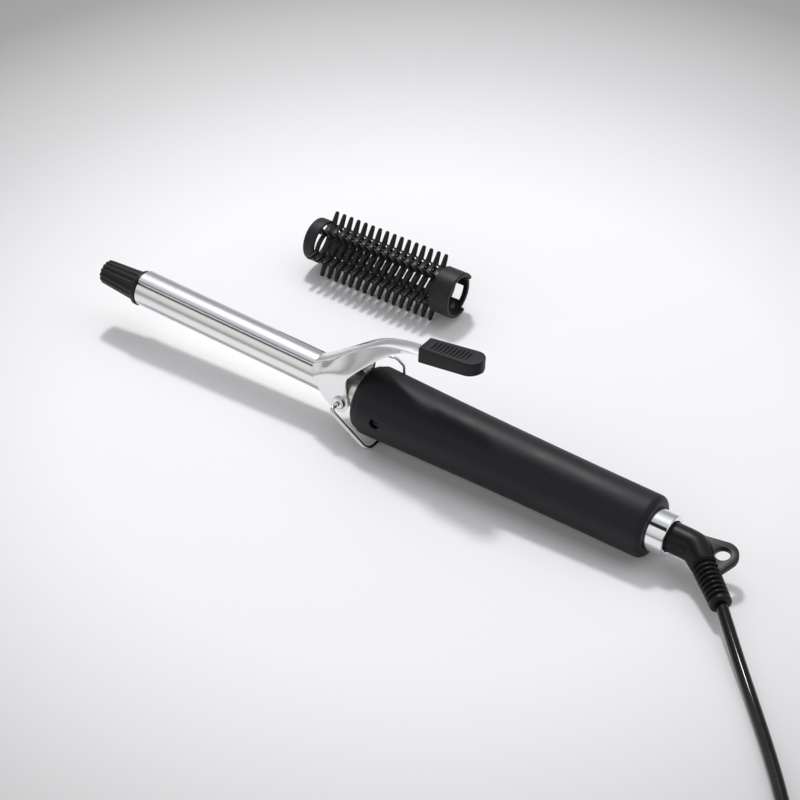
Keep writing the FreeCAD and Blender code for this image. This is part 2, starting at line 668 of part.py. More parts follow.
def make_brush_bars():
    """One bar with its bristles for each row. Every second row is shifted along."""
    x0 = BRUSH_FRONT + BRUSH_RING_W
    x1 = BRUSH_REAR - BRUSH_COLLAR_W
    bars = []
    for row in range(BRUSH_ROWS):
        angle = brush_row_angle(row)
        outwards = about_brush(1, angle, 0) - about_brush(0, angle, 0)
        pieces = [block(x0, x1, -0.9, 0.9, LATTICE_BORE_R + 0.04, HOOP_R)]
        for i in range(BRISTLES):
            x = BRISTLE_FIRST + ROW_SHIFT * (row % 2) + BRISTLE_PITCH * i
            base = Vec(x, 0, HOOP_R - 0.2)
            height = BRISTLE_TIP_R - BRISTLE_END_R - base.z
            pieces.append(Part.makeCone(BRISTLE_BASE_R, BRISTLE_END_R, height, base, Vec(0, 0, 1)))
            pieces.append(Part.makeSphere(BRISTLE_END_R, base + Vec(0, 0, height)))
        comb = joined(pieces)
        comb.Placement = FreeCAD.Placement(Vec(0, BRUSH_Y, BRUSH_AXIS_Z),
                                           FreeCAD.Rotation(Vec(0, 0, 1), Vec(0, outwards.y, outwards.z)))
        bars.append(comb)
    return bars


def make_brush_hoops(bars):
    """Thin hoops that tie the bars together, one for each place along the rows."""
    hoops = []
    for i in range(BRISTLES):
        x = BRISTLE_FIRST + ROW_SHIFT / 2 + BRISTLE_PITCH * i
        hoops.append(brush_ring(HOOP_R, LATTICE_BORE_R, x - 0.7, x + 0.7))
    return Part.makeCompound(hoops).cut(Part.makeCompound(bars))


# ---- every piece, in its place

add_barrel("cool_tip", make_cool_tip())
add_barrel("barrel_tube", ring_x(BARREL_R, BARREL_R - BARREL_WALL, BARREL_FRONT, BARREL_REAR))
heater_ceramic, spreader_upper, spreader_lower = make_heater()
add_barrel("ceramic_heater", heater_ceramic)
add_barrel("heat_spreader_upper", spreader_upper)
add_barrel("heat_spreader_lower", spreader_lower)
add_barrel("thermal_fuse", rod_x(1.9, -30.0, -18.0, 0, 4.0))
add_barrel("lead_wire_live", rod_x(0.9, -18.0, 119.0, 0, 4.0))
add_barrel("lead_wire_neutral", rod_x(0.9, HEATER_REAR, 119.0, 0, -4.0))
add_barrel("pivot_collar", make_pivot_collar())
add_barrel("pivot_rivets", make_pivot_rivets())
add_barrel("clamp_strip", make_clamp_strip())
add_barrel("clamp_lever", make_clamp_lever())
add_barrel("thumb_rest", make_thumb_rest())
add_barrel("clamp_spring", make_clamp_spring())
add_barrel("stand_wire", make_stand())
add_handle("handle_nose", make_handle_nose())
add_handle("handle_grip", make_handle_grip())
add_handle("barrel_holder", make_barrel_holder())
add_handle("handle_screws", make_handle_screws())
add_handle("rear_ring", make_rear_ring())
add_handle("swivel_socket", make_swivel_socket())
add_handle("contact_springs", make_contacts())
add_handle("contact_carrier", make_contact_carrier())
add_handle("crimp_terminals", make_terminals())
add_handle("swivel_spindle", make_swivel_spindle())
add_handle("slip_ring", ring_x(4.2, 3.0, 141.5, 145.0))
add_handle("contact_pin", rod_x(1.5, 134.0, 138.0))
add_handle("retaining_ring", ring_x(5.8, SPINDLE_R - 1.0, 147.7, 148.7))
add_handle("swivel_boot", make_boot())
add_handle("strain_relief", make_strain_relief())

route = cord_route()
route_radii = largest_radii(route)
cord = wire_body(arc_path(route, route_radii), CORD_R)
add_table("cord", cord)
add_table("cord_coil", make_coil())
tail = tail_route()
tail_radii = largest_radii(tail)
cord_tail = wire_body(arc_path(tail, tail_radii), CORD_R)
add_table("cord_tail", cord_tail)
add_table("cord_tie", make_cord_tie())
plug_body, plug_pins = make_plug()
add_table("plug_body", plug_body)
add_table("plug_pins", plug_pins)

brush_combs = make_brush_bars()
add_table("brush_end_ring", make_brush_ring())
add_table("brush_collar", make_brush_collar())
add_table("brush_bristle_bars", Part.makeCompound(brush_combs))
add_table("brush_hoops", make_brush_hoops(brush_combs))

for name, shape in nodes.items():
    shape.exportStep("parts/" + name + ".step")

# ---- figures that show the model is sound
ON_CORD = ("cord", "cord_coil", "cord_tail", "cord_tie", "plug_body", "plug_pins")
for name, shape in nodes.items():
    if not shape.isValid():
        print("not valid:", name)
own = Part.makeCompound([shape for name, shape in nodes.items() if name not in ON_CORD])
print("object box without the cord:", own.optimalBoundingBox())
for label, path_points, radii, body in (("cord", route, route_radii, cord), ("tail", tail, tail_radii, cord_tail)):
    length = arc_path(path_points, radii).Length
    section = math.pi * CORD_R ** 2
    print(label, "length", round(length, 1), "arc radii", [round(r) for r in radii],
          "volume over section times length", round(body.Volume / (section * length), 4))
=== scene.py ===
import json
import math

import bmesh
import bpy
from mathutils import Matrix, Quaternion, Vector


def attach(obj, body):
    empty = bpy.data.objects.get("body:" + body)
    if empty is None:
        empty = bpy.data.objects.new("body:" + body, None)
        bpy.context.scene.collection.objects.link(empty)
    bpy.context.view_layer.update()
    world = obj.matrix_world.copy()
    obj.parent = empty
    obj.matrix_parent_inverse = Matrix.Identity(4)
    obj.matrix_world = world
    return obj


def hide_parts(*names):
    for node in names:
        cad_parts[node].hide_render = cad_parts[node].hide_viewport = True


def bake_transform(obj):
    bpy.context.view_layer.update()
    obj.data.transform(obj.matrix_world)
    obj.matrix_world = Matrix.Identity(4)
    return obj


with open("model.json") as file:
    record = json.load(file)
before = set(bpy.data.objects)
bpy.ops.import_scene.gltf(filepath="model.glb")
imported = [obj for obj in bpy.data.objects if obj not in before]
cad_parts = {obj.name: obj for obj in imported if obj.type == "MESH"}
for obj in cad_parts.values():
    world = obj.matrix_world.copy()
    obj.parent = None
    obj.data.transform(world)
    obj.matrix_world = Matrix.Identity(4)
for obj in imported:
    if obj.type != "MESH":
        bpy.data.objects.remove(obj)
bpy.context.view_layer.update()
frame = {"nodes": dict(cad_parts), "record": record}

# Lengths are in millimetres, in frames that part.py also uses. Each matrix goes to the row frame in metres.
MM = 0.001
BOX_MID = Vector((31.49, 44.2, 0.0))
BARREL_HEIGHT, BARREL_TILT = 20.72, 2.363
HANDLE_HEIGHT, HANDLE_TILT = 19.3, 1.684
TABLE = Matrix.Scale(MM, 4) @ Matrix.Translation(-BOX_MID)


def tilted_frame(height, tilt):
    """A frame above the table's origin, tilted about the Y axis by some degrees."""
    return TABLE @ Matrix.Translation((0, 0, height)) @ Matrix.Rotation(math.radians(tilt), 4, "Y")


BARREL = tilted_frame(BARREL_HEIGHT, BARREL_TILT)
HANDLE = tilted_frame(HANDLE_HEIGHT, HANDLE_TILT)


# ---- camera

CAMERA_DOWN, CAMERA_TURN = 37.43, 35.26  # degrees below level and about the vertical

camera_data = bpy.data.cameras.new("camera")
camera_data.lens = 112.725
camera_data.sensor_width = 36.0
camera_data.clip_end = 20.0
camera = bpy.data.objects.new("camera", camera_data)
camera.location = (0.51331, -0.7759, 0.7108)
camera.rotation_euler = (math.radians(90 - CAMERA_DOWN), 0.0, math.radians(CAMERA_TURN))
bpy.context.scene.collection.objects.link(camera)
bpy.context.scene.camera = camera


# ---- cord

BEND = Vector((0.763, -0.632, -0.136)).normalized()  # handle frame: the boot's bent leg
ELBOW_X = 181.4
CORD_R = 2.7
COIL_CENTRE = Vector((346.0, -124.0, 0.0))
COIL_RADII = (40.5, 35.1, 29.7, 24.3, 24.3, 29.7, 35.1, 40.5)
COIL_START = -142.0  # degrees
COIL_SPREAD = 1.012  # the spline cuts inside its points
RISE_TURN, RISE_SPAN = 3.55, 0.4  # where the second layer begins, in turns
BOOT_LEG = 32.6  # from the elbow to where the cord comes out
POINTS_PER_TURN = 16
JOG = 3  # the last runs of a turn step to the next
TURNS_END = 7 - COIL_START / 360.0


def coil_points():
    """Two layers of turns, inwards on the table and outwards on top of them."""
    points = []
    for i in range(1, int(TURNS_END * POINTS_PER_TURN) + 1):
        turn, phase = divmod(i, POINTS_PER_TURN)
        radius = COIL_RADII[turn]
        step = phase - (POINTS_PER_TURN - JOG)
        if step > 0 and turn + 1 < len(COIL_RADII):
            radius += (COIL_RADII[turn + 1] - radius) * step / JOG
        rise = min(max((i - RISE_TURN * POINTS_PER_TURN) / (RISE_SPAN * POINTS_PER_TURN), 0.0), 1.0)
        angle = math.radians(COIL_START + 360.0 * i / POINTS_PER_TURN)
        radius *= COIL_SPREAD
        points.append(COIL_CENTRE + Vector((radius * math.cos(angle), radius * math.sin(angle),
                                            CORD_R * (1 + 2 * rise))))
    return points


cord_start = TABLE.inverted() @ (HANDLE @ (Vector((ELBOW_X, 0, 0)) + BEND * BOOT_LEG))
cord_route = [cord_start, Vector((222.0, -37.0, 4.9)), Vector((240.6, -56.4, CORD_R)),
              Vector((259.3, -77.0, CORD_R)), Vector((276.0, -96.6, CORD_R)),
              Vector((296.6, -123.0, CORD_R)), Vector((314.1, -148.9, CORD_R))]
cord_route += coil_points()
cord_route += [Vector((386.9, -106.0, 7.2)), Vector((386.5, -88.0, 5.6))]

cord_curve = bpy.data.curves.new("cord_lead", "CURVE")
cord_curve.dimensions = "3D"
cord_curve.bevel_depth = CORD_R * MM
cord_curve.bevel_resolution = 6
cord_curve.resolution_u = 8
cord_curve.use_fill_caps = True
cord_spline = cord_curve.splines.new("NURBS")
cord_spline.points.add(len(cord_route) - 1)
for spline_point, place in zip(cord_spline.points, cord_route):
    spline_point.co = (*(TABLE @ place), 1.0)
cord_spline.order_u = 3
cord_spline.use_endpoint_u = True
cord = bpy.data.objects.new("cord_lead", cord_curve)
bpy.context.scene.collection.objects.link(cord)


# ---- mesh helpers

def finish_mesh(name, bm, matrix, sharp=32.0):
    """Turn a bmesh in a frame's millimetres into an object in the row frame."""
    bmesh.ops.remove_doubles(bm, verts=bm.verts, dist=1e-5)
    bmesh.ops.recalc_face_normals(bm, faces=bm.faces)
    for face in bm.faces:
        face.smooth = True
    limit = math.radians(sharp)
    for edge in bm.edges:
        if len(edge.link_faces) == 2:
            edge.smooth = edge.calc_face_angle(0.0) < limit
    bm.transform(matrix)
    mesh = bpy.data.meshes.new(name)
    bm.to_mesh(mesh)
    bm.free()
    made = bpy.data.objects.new(name, mesh)
    bpy.context.scene.collection.objects.link(made)
    return made


def apply_modifiers(made):
    """Replace an object's mesh with the one that its modifiers give."""
    graph = bpy.context.evaluated_depsgraph_get()
    mesh = bpy.data.meshes.new_from_object(made.evaluated_get(graph))
    made.modifiers.clear()
    made.data = mesh
    return made


def around(radius, angle):
    """The two coordinates of a point on a circle."""
    return radius * math.cos(angle), radius * math.sin(angle)


def circle_angles(count):
    return [2 * math.pi * i / count for i in range(count)]


def limited(value):
    """The value kept between 0 and 1."""
    return min(max(value, 0.0), 1.0)


def add_skin(bm, rings, closed=True, start_cap=False, end_cap=False):
    """Faces between rings of points; a ring of one point is a pole."""
    made = [[bm.verts.new(p) for p in ring] for ring in rings]
    for here, there in zip(made, made[1:]):
        count = max(len(here), len(there))
        for i in range(count if closed else count - 1):
            j = (i + 1) % count
            corners = []
            for ring, k in ((here, i), (here, j), (there, j), (there, i)):
                vert = ring[k % len(ring)]
                if vert not in corners:
                    corners.append(vert)
            if len(corners) > 2:
                bm.faces.new(corners)
    if start_cap:
        bm.faces.new(made[0])
    if end_cap:
        bm.faces.new(made[-1])
    return bm


def skin_piece(name, rings, matrix, sharp, start_cap=True, end_cap=None):
    """A piece that is one closed skin; its two ends are alike unless said."""
    bm = bmesh.new()
    add_skin(bm, rings, True, start_cap, start_cap if end_cap is None else end_cap)
    return finish_mesh(name, bm, matrix, sharp)


def arc_corner(before, corner, after, radius, steps):
    """Points on the arc that rounds a corner."""
    arriving = (corner - before).normalized()
    leaving = (after - corner).normalized()
    turn = arriving.angle(leaving, 0.0)
    if radius <= 0 or turn < 1e-4:
        return [corner]
    cut = radius * math.tan(turn / 2)
    first = corner - arriving * cut
    last = corner + leaving * cut
    centre = corner + (leaving - arriving).normalized() * (radius / math.cos(turn / 2))
    return [centre + (first - centre).slerp(last - centre, i / steps) * radius for i in range(steps + 1)]


def rounded_path(points, radii, steps=6, closed=False):
    """Straight runs with arcs at the corners. radii has one number for each point."""
    points = [Vector(p) for p in points]
    count = len(points)
    out = []
    for i, (place, radius) in enumerate(zip(points, radii)):
        if not closed and i in (0, count - 1):
            out.append(place)
        else:
            out += arc_corner(points[i - 1], place, points[(i + 1) % count], radius, steps)
    return out


def flat_points(pairs):
    """Corners of a profile as points with no height."""
    return [(a, b, 0.0) for a, b in pairs]


def turned_rings(profile, radii, turns=96, steps=5):
    """Rings about the X axis from (x, r) corners, each with its own rounding."""
    rings = []
    for p in rounded_path(flat_points(profile), radii, steps):
        angles = circle_angles(turns) if p.y > 1e-6 else [0.0]
        rings.append([Vector((p.x, *around(p.y, angle))) for angle in angles])
    return rings


def lathe(name, profile, radii, matrix, turns=96, steps=5, sharp=32.0):
    """A piece turned about the X axis."""
    return skin_piece(name, turned_rings(profile, radii, turns, steps), matrix, sharp, False)


def ring_about(place, first, second, radius, sides):
    """A circle of points in the plane of two unit directions."""
    return [place + (first * math.cos(angle) + second * math.sin(angle)) * radius
            for angle in circle_angles(sides)]


def add_tube(bm, path, radius, sides):
    """A round wire along a path of points, with slightly domed ends."""
    path = [Vector(p) for p in path]
    tangent = (path[1] - path[0]).normalized()
    normal = tangent.orthogonal().normalized()
    rings = []
    last = len(path) - 1
    for i, place in enumerate(path):
        ahead = path[min(i + 1, last)] - path[max(i - 1, 0)]
        new_tangent = ahead.normalized()
        normal = (tangent.rotation_difference(new_tangent) @ normal).normalized()
        tangent = new_tangent
        side = tangent.cross(normal).normalized()
        ring = ring_about(place, normal, side, radius, sides)
        if i == 0:
            rings.append([place - tangent * radius * 0.3])
            rings.append([place - tangent * radius * 0.25 + (p - place) * 0.6 for p in ring])
        rings.append(ring)
        if i == last:
            rings.append([place + tangent * radius * 0.25 + (p - place) * 0.6 for p in ring])
            rings.append([place + tangent * radius * 0.3])
    return add_skin(bm, rings)


def add_box(bm, low, high, matrix):
    """A box between two corners, moved by a matrix."""
    (x0, y0, z0), (x1, y1, z1) = low, high
    verts = [bm.verts.new(matrix @ Vector((x, y, z))) for z in (z0, z1) for y in (y0, y1) for x in (x0, x1)]
    for face in ((0, 1, 3, 2), (4, 6, 7, 5), (0, 4, 5, 1), (2, 3, 7, 6), (0, 2, 6, 4), (1, 5, 7, 3)):
        bm.faces.new([verts[i] for i in face])


def soften(made, width, segments=3, angle=30.0):
    """Round the sharp edges of an object in the row frame; width in millimetres."""
    bevel = made.modifiers.new("edges", "BEVEL")
    bevel.width = width * MM
    bevel.segments = segments
    bevel.limit_method = "ANGLE"
    bevel.angle_limit = math.radians(angle)
    apply_modifiers(made)
    return made


def cut_away(made, cutter):
    """Subtract one object from another and remove the cutter."""
    boolean = made.modifiers.new("cut", "BOOLEAN")
    boolean.operation = "DIFFERENCE"
    boolean.solver = "EXACT"
    boolean.object = cutter
    apply_modifiers(made)
    bpy.data.objects.remove(cutter, do_unlink=True)
    return made


def shade_by_angle(made, sharp):
    """Smooth shading, with sharp edges where faces meet at more than some degrees."""
    bm = bmesh.new()
    bm.from_mesh(made.data)
    bmesh.ops.remove_doubles(bm, verts=bm.verts, dist=1e-7)
    for face in bm.faces:
        face.smooth = True
    for edge in bm.edges:
        edge.smooth = len(edge.link_faces) == 2 and edge.calc_face_angle(0.0) < math.radians(sharp)
    bm.to_mesh(made.data)
    bm.free()
    return made


def smooth_line(knots, per_knot):
    """Catmull-Rom points through a list of equal-length tuples."""
    out = []
    last = len(knots) - 1
    for i in range(last):
        p = [knots[max(i - 1, 0)], knots[i], knots[i + 1], knots[min(i + 2, last)]]
        for k in range(per_knot):
            t = k / per_knot
            out.append(tuple(0.5 * (2 * b + (c - a) * t + (2 * a - 5 * b + 4 * c - d) * t * t
                                    + (3 * b - a - 3 * c + d) * t ** 3)
                             for a, b, c, d in zip(*p)))
    out.append(tuple(knots[-1]))
    return out


def between(x, table):
    """Linear interpolation in a table of (x, value) pairs."""
    if x <= table[0][0]:
        return table[0][1]
    for (x0, y0), (x1, y1) in zip(table, table[1:]):
        if x <= x1:
            return y0 + (y1 - y0) * (x - x0) / (x1 - x0)
    return table[-1][1]


# ---- materials

NOISE_LOW, NOISE_HIGH = 0.3, 0.7  # where most of a noise's values lie
METAL_BUMP, PLASTIC_BUMP = 0.00002, 0.00004  # metres


def new_node(tree, kind, inputs=(), **settings):
    """A shader node with its settings and its unlinked inputs."""
    node = tree.nodes.new("ShaderNode" + kind)
    for name, value in settings.items():
        setattr(node, name, value)
    for name, value in dict(inputs).items():
        node.inputs[name].default_value = value
    return node


def join(tree, source, output, target, socket):
    tree.links.new(source.outputs[output], target.inputs[socket])


def shader(name, color, rough, metallic=0.0, specular=0.5):
    """A material, its node tree and its Principled node."""
    mat = bpy.data.materials.new(name)
    mat.use_nodes = True
    principled = mat.node_tree.nodes["Principled BSDF"]
    for socket, value in (("Base Color", (*color, 1.0)), ("Roughness", rough), ("Metallic", metallic),
                          ("Specular IOR Level", specular)):
        principled.inputs[socket].default_value = value
    return mat, mat.node_tree, principled


def noise_node(tree, scale, detail=3.0, stretch=(1, 1, 1)):
    """Noise over the object's own coordinates."""
    coords = new_node(tree, "TexCoord")
    mapping = new_node(tree, "Mapping", {"Scale": stretch})
    noise = new_node(tree, "TexNoise", {"Scale": scale, "Detail": detail, "Roughness": 0.55})
    join(tree, coords, "Object", mapping, "Vector")
    join(tree, mapping, "Vector", noise, "Vector")
    return noise.outputs["Fac"]


def spread(tree, factor, low, high):
    """The factor's middle range mapped to low..high."""
    span = new_node(tree, "MapRange", {"From Min": NOISE_LOW, "From Max": NOISE_HIGH,
                                       "To Min": low, "To Max": high})
    tree.links.new(factor, span.inputs["Value"])
    return span.outputs["Result"]


def tint(tree, factor, dark, light):
    """A colour that runs from dark to light with the factor."""
    ramp = new_node(tree, "ValToRGB")
    for element, place, color in zip(ramp.color_ramp.elements, (NOISE_LOW, NOISE_HIGH), (dark, light)):
        element.position = place
        element.color = (*color, 1.0)
    tree.links.new(factor, ramp.inputs["Fac"])
    return ramp.outputs["Color"]


def add_bump(tree, principled, height, strength, distance):
    """Relief in the shading; distance in metres."""
    bump = new_node(tree, "Bump", {"Strength": strength, "Distance": distance})
    tree.links.new(height, bump.inputs["Height"])
    join(tree, bump, "Normal", principled, "Normal")


def metal(name, color, rough, vary=0.04, grain=700.0, stretch=(1, 1, 1), bump=0.03, cloud=0.03):
    """Polished or satin metal with fine marks along one direction and a faint cloudiness."""
    mat, tree, principled = shader(name, color, rough, metallic=1.0)
    marks = noise_node(tree, grain, 4.0, stretch)
    clouds = noise_node(tree, 60.0, 2.0)
    dark = tuple(c * (1 - cloud) for c in color)
    roughness = spread(tree, marks, max(rough - vary, 0.02), rough + vary)
    tree.links.new(tint(tree, clouds, dark, color), principled.inputs["Base Color"])
    tree.links.new(roughness, principled.inputs["Roughness"])
    add_bump(tree, principled, marks, bump, METAL_BUMP)
    return mat


def plastic(name, color, rough, vary=0.06, grain=2600.0, bump=0.12, lift=1.35, specular=0.5):
    """Moulded plastic or rubber with a fine grain, slight colour drift and handling marks."""
    mat, tree, principled = shader(name, color, rough, specular=specular)
    fine = noise_node(tree, grain)
    broad = noise_node(tree, 55.0)
    light = tuple(c * lift for c in color)
    both = new_node(tree, "Math", operation="ADD")
    tree.links.new(tint(tree, broad, color, light), principled.inputs["Base Color"])
    tree.links.new(spread(tree, broad, rough - vary, rough + vary), both.inputs[0])
    tree.links.new(spread(tree, fine, -vary / 2, vary / 2), both.inputs[1])
    join(tree, both, "Value", principled, "Roughness")
    add_bump(tree, principled, fine, bump, PLASTIC_BUMP)
    return mat


# Each look is the colour, roughness and further arguments of metal() or plastic().
METALS = {
    "barrel_chrome": ((0.83, 0.83, 0.835), 0.17, 0.02, 260.0, (6, 40, 40), 0.008),
    "lever_chrome": ((0.82, 0.82, 0.83), 0.17, 0.015, 500.0, (1, 1, 1), 0.006),
    "wire_chrome": ((0.78, 0.78, 0.80), 0.13, 0.04, 1600.0),
    "ring_chrome": ((0.86, 0.87, 0.89), 0.05, 0.02, 1200.0, (1, 1, 1), 0.01, 0.01),
    "steel": ((0.72, 0.70, 0.67), 0.3, 0.03, 420.0, (1, 1, 1), 0.01),
    # painted shade: a darkened metal for the handle screws, so that the screw holes look dark inside
    "screw_hole_shade": ((0.05, 0.05, 0.055), 0.42, 0.06, 900.0),
    "aluminium": ((0.70, 0.71, 0.72), 0.36, 0.06, 500.0, (1, 12, 12)),
    "brass": ((0.72, 0.52, 0.24), 0.3, 0.06, 900.0),
    "brass_plated": ((0.76, 0.74, 0.70), 0.14, 0.05, 1100.0, (1, 1, 1), 0.03),
}
PLASTICS = {
    "ceramic": ((0.72, 0.70, 0.64), 0.6, 0.08, 1800.0, 0.2, 1.08),
    "wire_insulation": ((0.55, 0.52, 0.44), 0.35, 0.05, 900.0, 0.05, 1.06),
    "inner_plastic": ((0.06, 0.06, 0.062), 0.5),
    "heat_resistant_plastic": ((0.006, 0.006, 0.0075), 0.38, 0.05, 2200.0, 0.1, 1.35, 0.32),
    "thumb_plastic": ((0.0075, 0.0075, 0.0095), 0.5, 0.05, 3200.0, 0.25, 1.35, 0.26),
    "soft_touch": ((0.0062, 0.0058, 0.0088), 0.5, 0.04, 3600.0, 0.12, 1.25, 0.3),
    "boot_rubber": ((0.005, 0.005, 0.006), 0.36, 0.06, 2400.0, 0.12, 1.35, 0.22),
    "cord_pvc": ((0.003, 0.003, 0.0036), 0.12, 0.02, 800.0, 0.01, 1.3, 0.24),
    "tie_plastic": ((0.015, 0.015, 0.016), 0.4),
    "plug_plastic": ((0.010, 0.010, 0.011), 0.42, 0.06, 2400.0, 0.15),
    "brush_plastic": ((0.007, 0.007, 0.009), 0.5, 0.05, 3000.0, 0.2, 1.35, 0.34),
    "brush_bristle": ((0.005, 0.005, 0.006), 0.34, 0.06, 1800.0, 0.1, 1.35, 0.3),
}
MATERIALS = {name: metal(name, *look) for name, look in METALS.items()}
MATERIALS |= {name: plastic(name, *look) for name, look in PLASTICS.items()}


def wear(made, slot):
    """Give a piece one material."""
    made.data.materials.clear()
    made.data.materials.append(MATERIALS[slot])


def place_piece(made, slot, body, *nodes):
    """Material, body and CAD nodes of a finished piece."""
    wear(made, slot)
    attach(made, body)
    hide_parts(*nodes)
    return made


place_piece(cord, "cord_pvc", "swivel", "cord", "cord_coil", "cord_tail")


# ---- barrel and cool tip

BARREL_R = 8.0
BARREL_FRONT, BARREL_REAR = -121.9, 37.9
BARREL_BORE_R = 7.4
barrel = lathe("barrel_shell",
               [(BARREL_FRONT, BARREL_BORE_R), (BARREL_FRONT, BARREL_R),
                (BARREL_REAR, BARREL_R), (BARREL_REAR, BARREL_BORE_R)],
               [0, 0.25, 0.2, 0], BARREL, turns=128)
place_piece(barrel, "barrel_chrome", "handle", "barrel_tube")


def make_cool_tip():
    """Fluted cone with a scalloped front edge, on a rounded flange."""
    flutes = 14
    turns = flutes * 14
    front, rear = -145.6, -124.6
    front_r, rear_r = 5.9, 7.4
    flute_depth = 0.72
    nose, fade = 0.8, 1.2  # lengths of the rounded front and of the flutes' end
    stations = [(front, 0.0, 0.0), (front, 0.55, 0.0), (front + 0.02, 0.86, 0.5), (front + 0.25, 0.95, 0.9),
                (front + nose, 1.0, 1.0)]
    for i in range(1, 15):
        stations.append((front + nose + (rear - fade - front - nose) * i / 14, 1.0, 1.0))
    stations += [(rear - 0.6, 1.0, 0.75), (rear - 0.2, 1.0, 0.35), (rear, 1.0, 0.0)]
    rings = []
    for x, share, deep in stations:
        outer = front_r + (rear_r - front_r) * (x - front) / (rear - front)
        if share == 0:
            rings.append([Vector((x, 0, 0))])
            continue
        ring = []
        for angle in circle_angles(turns):
            wave = (0.5 + 0.5 * math.cos(flutes * angle)) ** 2.2
            ring.append(Vector((x, *around((outer - flute_depth * deep * wave) * share, angle))))
        rings.append(ring)
    bm = bmesh.new()
    add_skin(bm, rings)
    flange_and_spigot = [(-124.4, 0), (-124.4, 8.6), (-122.0, 8.6), (-122.0, 7.4), (-115.0, 7.38),
                         (-115.0, 6.0)]
    add_skin(bm, turned_rings(flange_and_spigot, [0, 0.8, 0.45, 0, 0.3, 0], 112))
    return finish_mesh("cool_tip_cap", bm, BARREL, 50.0)


place_piece(make_cool_tip(), "heat_resistant_plastic", "handle", "cool_tip")


# ---- clamp: strip, lever and thumb rest

PIVOT = Vector((0.7, 0.0, -2.8))
SHEET = 0.8


def make_clamp_strip():
    """Curved strip that lies on the barrel, with eased edges and a rounded front end."""
    inner, outer = 8.85, 9.4
    half = math.radians(33.7)
    lip_reach = 0.035  # radians that the round edges stand out by
    middle = (inner + outer) / 2
    steps = 22
    round_start, length, runs = -119.6, 102.4, 24
    stations = [(-121.5, 0.90), (-121.2, 0.95), (-120.6, 0.985), (round_start, 1.0)]
    stations += [(round_start + length * i / runs, 1.0) for i in range(1, runs + 1)]
    rings = []
    for x, share in stations:
        reach = half * share
        across = [-reach + 2 * reach * i / steps for i in range(steps + 1)]
        edge = []
        for k in (1, 2, 3):
            bend = math.pi * k / 4
            edge.append((middle + (outer - middle) * math.cos(bend), reach + lip_reach * math.sin(bend)))
        section = [(outer, angle) for angle in across] + edge
        section += [(inner, -angle) for angle in across]
        section += [(radius, -angle) for radius, angle in reversed(edge)]
        rings.append([Vector((x, *reversed(around(radius, angle)))) for radius, angle in section])
    return skin_piece("clamp_strip_plate", rings, BARREL, 60.0)


place_piece(make_clamp_strip(), "lever_chrome", "clamp", "clamp_strip")

# Stations along the lever, each a line down its side: x on the crease, then x and z on the lower outline.
LEVER_STATIONS = [
    (-17.6, -17.5, 5.5), (-16.3, -16.4, 5.2), (-14.8, -15.2, 4.7), (-13.3, -14.4, 4.1),
    (-11.8, -13.2, 2.2), (-10.2, -11.2, -0.7), (-8.6, -9.0, -3.4), (-7.1, -6.6, -5.4), (-5.7, -4.2, -6.7),
    (-4.4, -1.8, -7.6), (-3.2, 0.7, -7.95), (-2.3, 3.0, -7.4), (-1.5, 4.6, -6.0), (-0.9, 5.3, -4.0),
    (-0.3, 5.1, -1.4), (0.1, 4.6, 1.6), (0.6, 4.0, 4.8), (1.4, 3.6, 7.8), (2.7, 3.75, 10.2),
    (4.4, 4.6, 12.3), (6.2, 6.6, 14.8), (9.0, 10.0, 18.7), (12.5, 13.6, 22.4), (16.0, 16.6, 25.4),
    (19.5, 19.9, 28.3), (24.0, 24.2, 31.9), (28.5, 29.0, 35.2), (32.0, 32.6, 36.9), (36.0, 36.2, 37.9),
    (41.0, 41.0, 38.7), (50.0, 50.0, 39.95), (61.9, 61.9, 41.6)]
# By x: where the ear's flat side ends (z), and its half-width; the crease's height and half-width; the crown.
EAR_TOP = smooth_line([(-17.5, 3.0), (-13.3, 5.2), (-10.5, 7.5), (-7.0, 9.9), (-3.0, 11.6), (1.4, 12.4),
                       (6.0, 14.4), (11.0, 19.2), (16.0, 24.6), (23.0, 31.0), (32.0, 36.5),
                       (62.0, 41.5)], 8)
EAR_Y = smooth_line([(-17.5, 8.55), (-13.3, 9.45), (-6.0, 9.8), (1.0, 9.8), (6.0, 9.4), (11.0, 8.2),
                     (16.0, 6.8), (23.0, 5.4), (29.0, 4.6), (33.0, 4.1), (62.0, 4.05)], 8)
CREASE = smooth_line([(-17.6, 7.85), (-14.0, 10.35), (-9.0, 14.1), (-4.0, 18.05), (1.0, 22.0),
                      (6.0, 25.9), (12.5, 30.6), (19.5, 34.2), (28.5, 36.9), (36.0, 38.25),
                      (50.0, 40.35), (61.9, 42.0)], 6)
CREASE_Y = smooth_line([(-17.6, 5.1), (-14.0, 4.6), (-9.0, 4.4), (1.0, 4.3), (12.5, 4.25), (28.5, 4.1),
                        (61.9, 4.0)], 6)
CROWN = [(-17.5, 1.5), (-14.0, 1.3), (5.0, 1.15), (25.0, 0.95), (40.0, 0.55), (62.0, 0.5)]


def lever_side(x, z):
    """Half-width of the lever's outer face at a place seen from the side."""
    top = between(x, CREASE)
    edge_y = between(x, CREASE_Y)
    ear_z = min(between(x, EAR_TOP), top - 0.6)
    ear_y = between(x, EAR_Y)
    if z >= top:
        return edge_y
    share = (z - ear_z) / (top - ear_z)
    ease = 0.5 * (share + math.sqrt(share * share + 0.03))
    return ear_y - (ear_y - edge_y) * min(ease, 1.0) ** 1.12


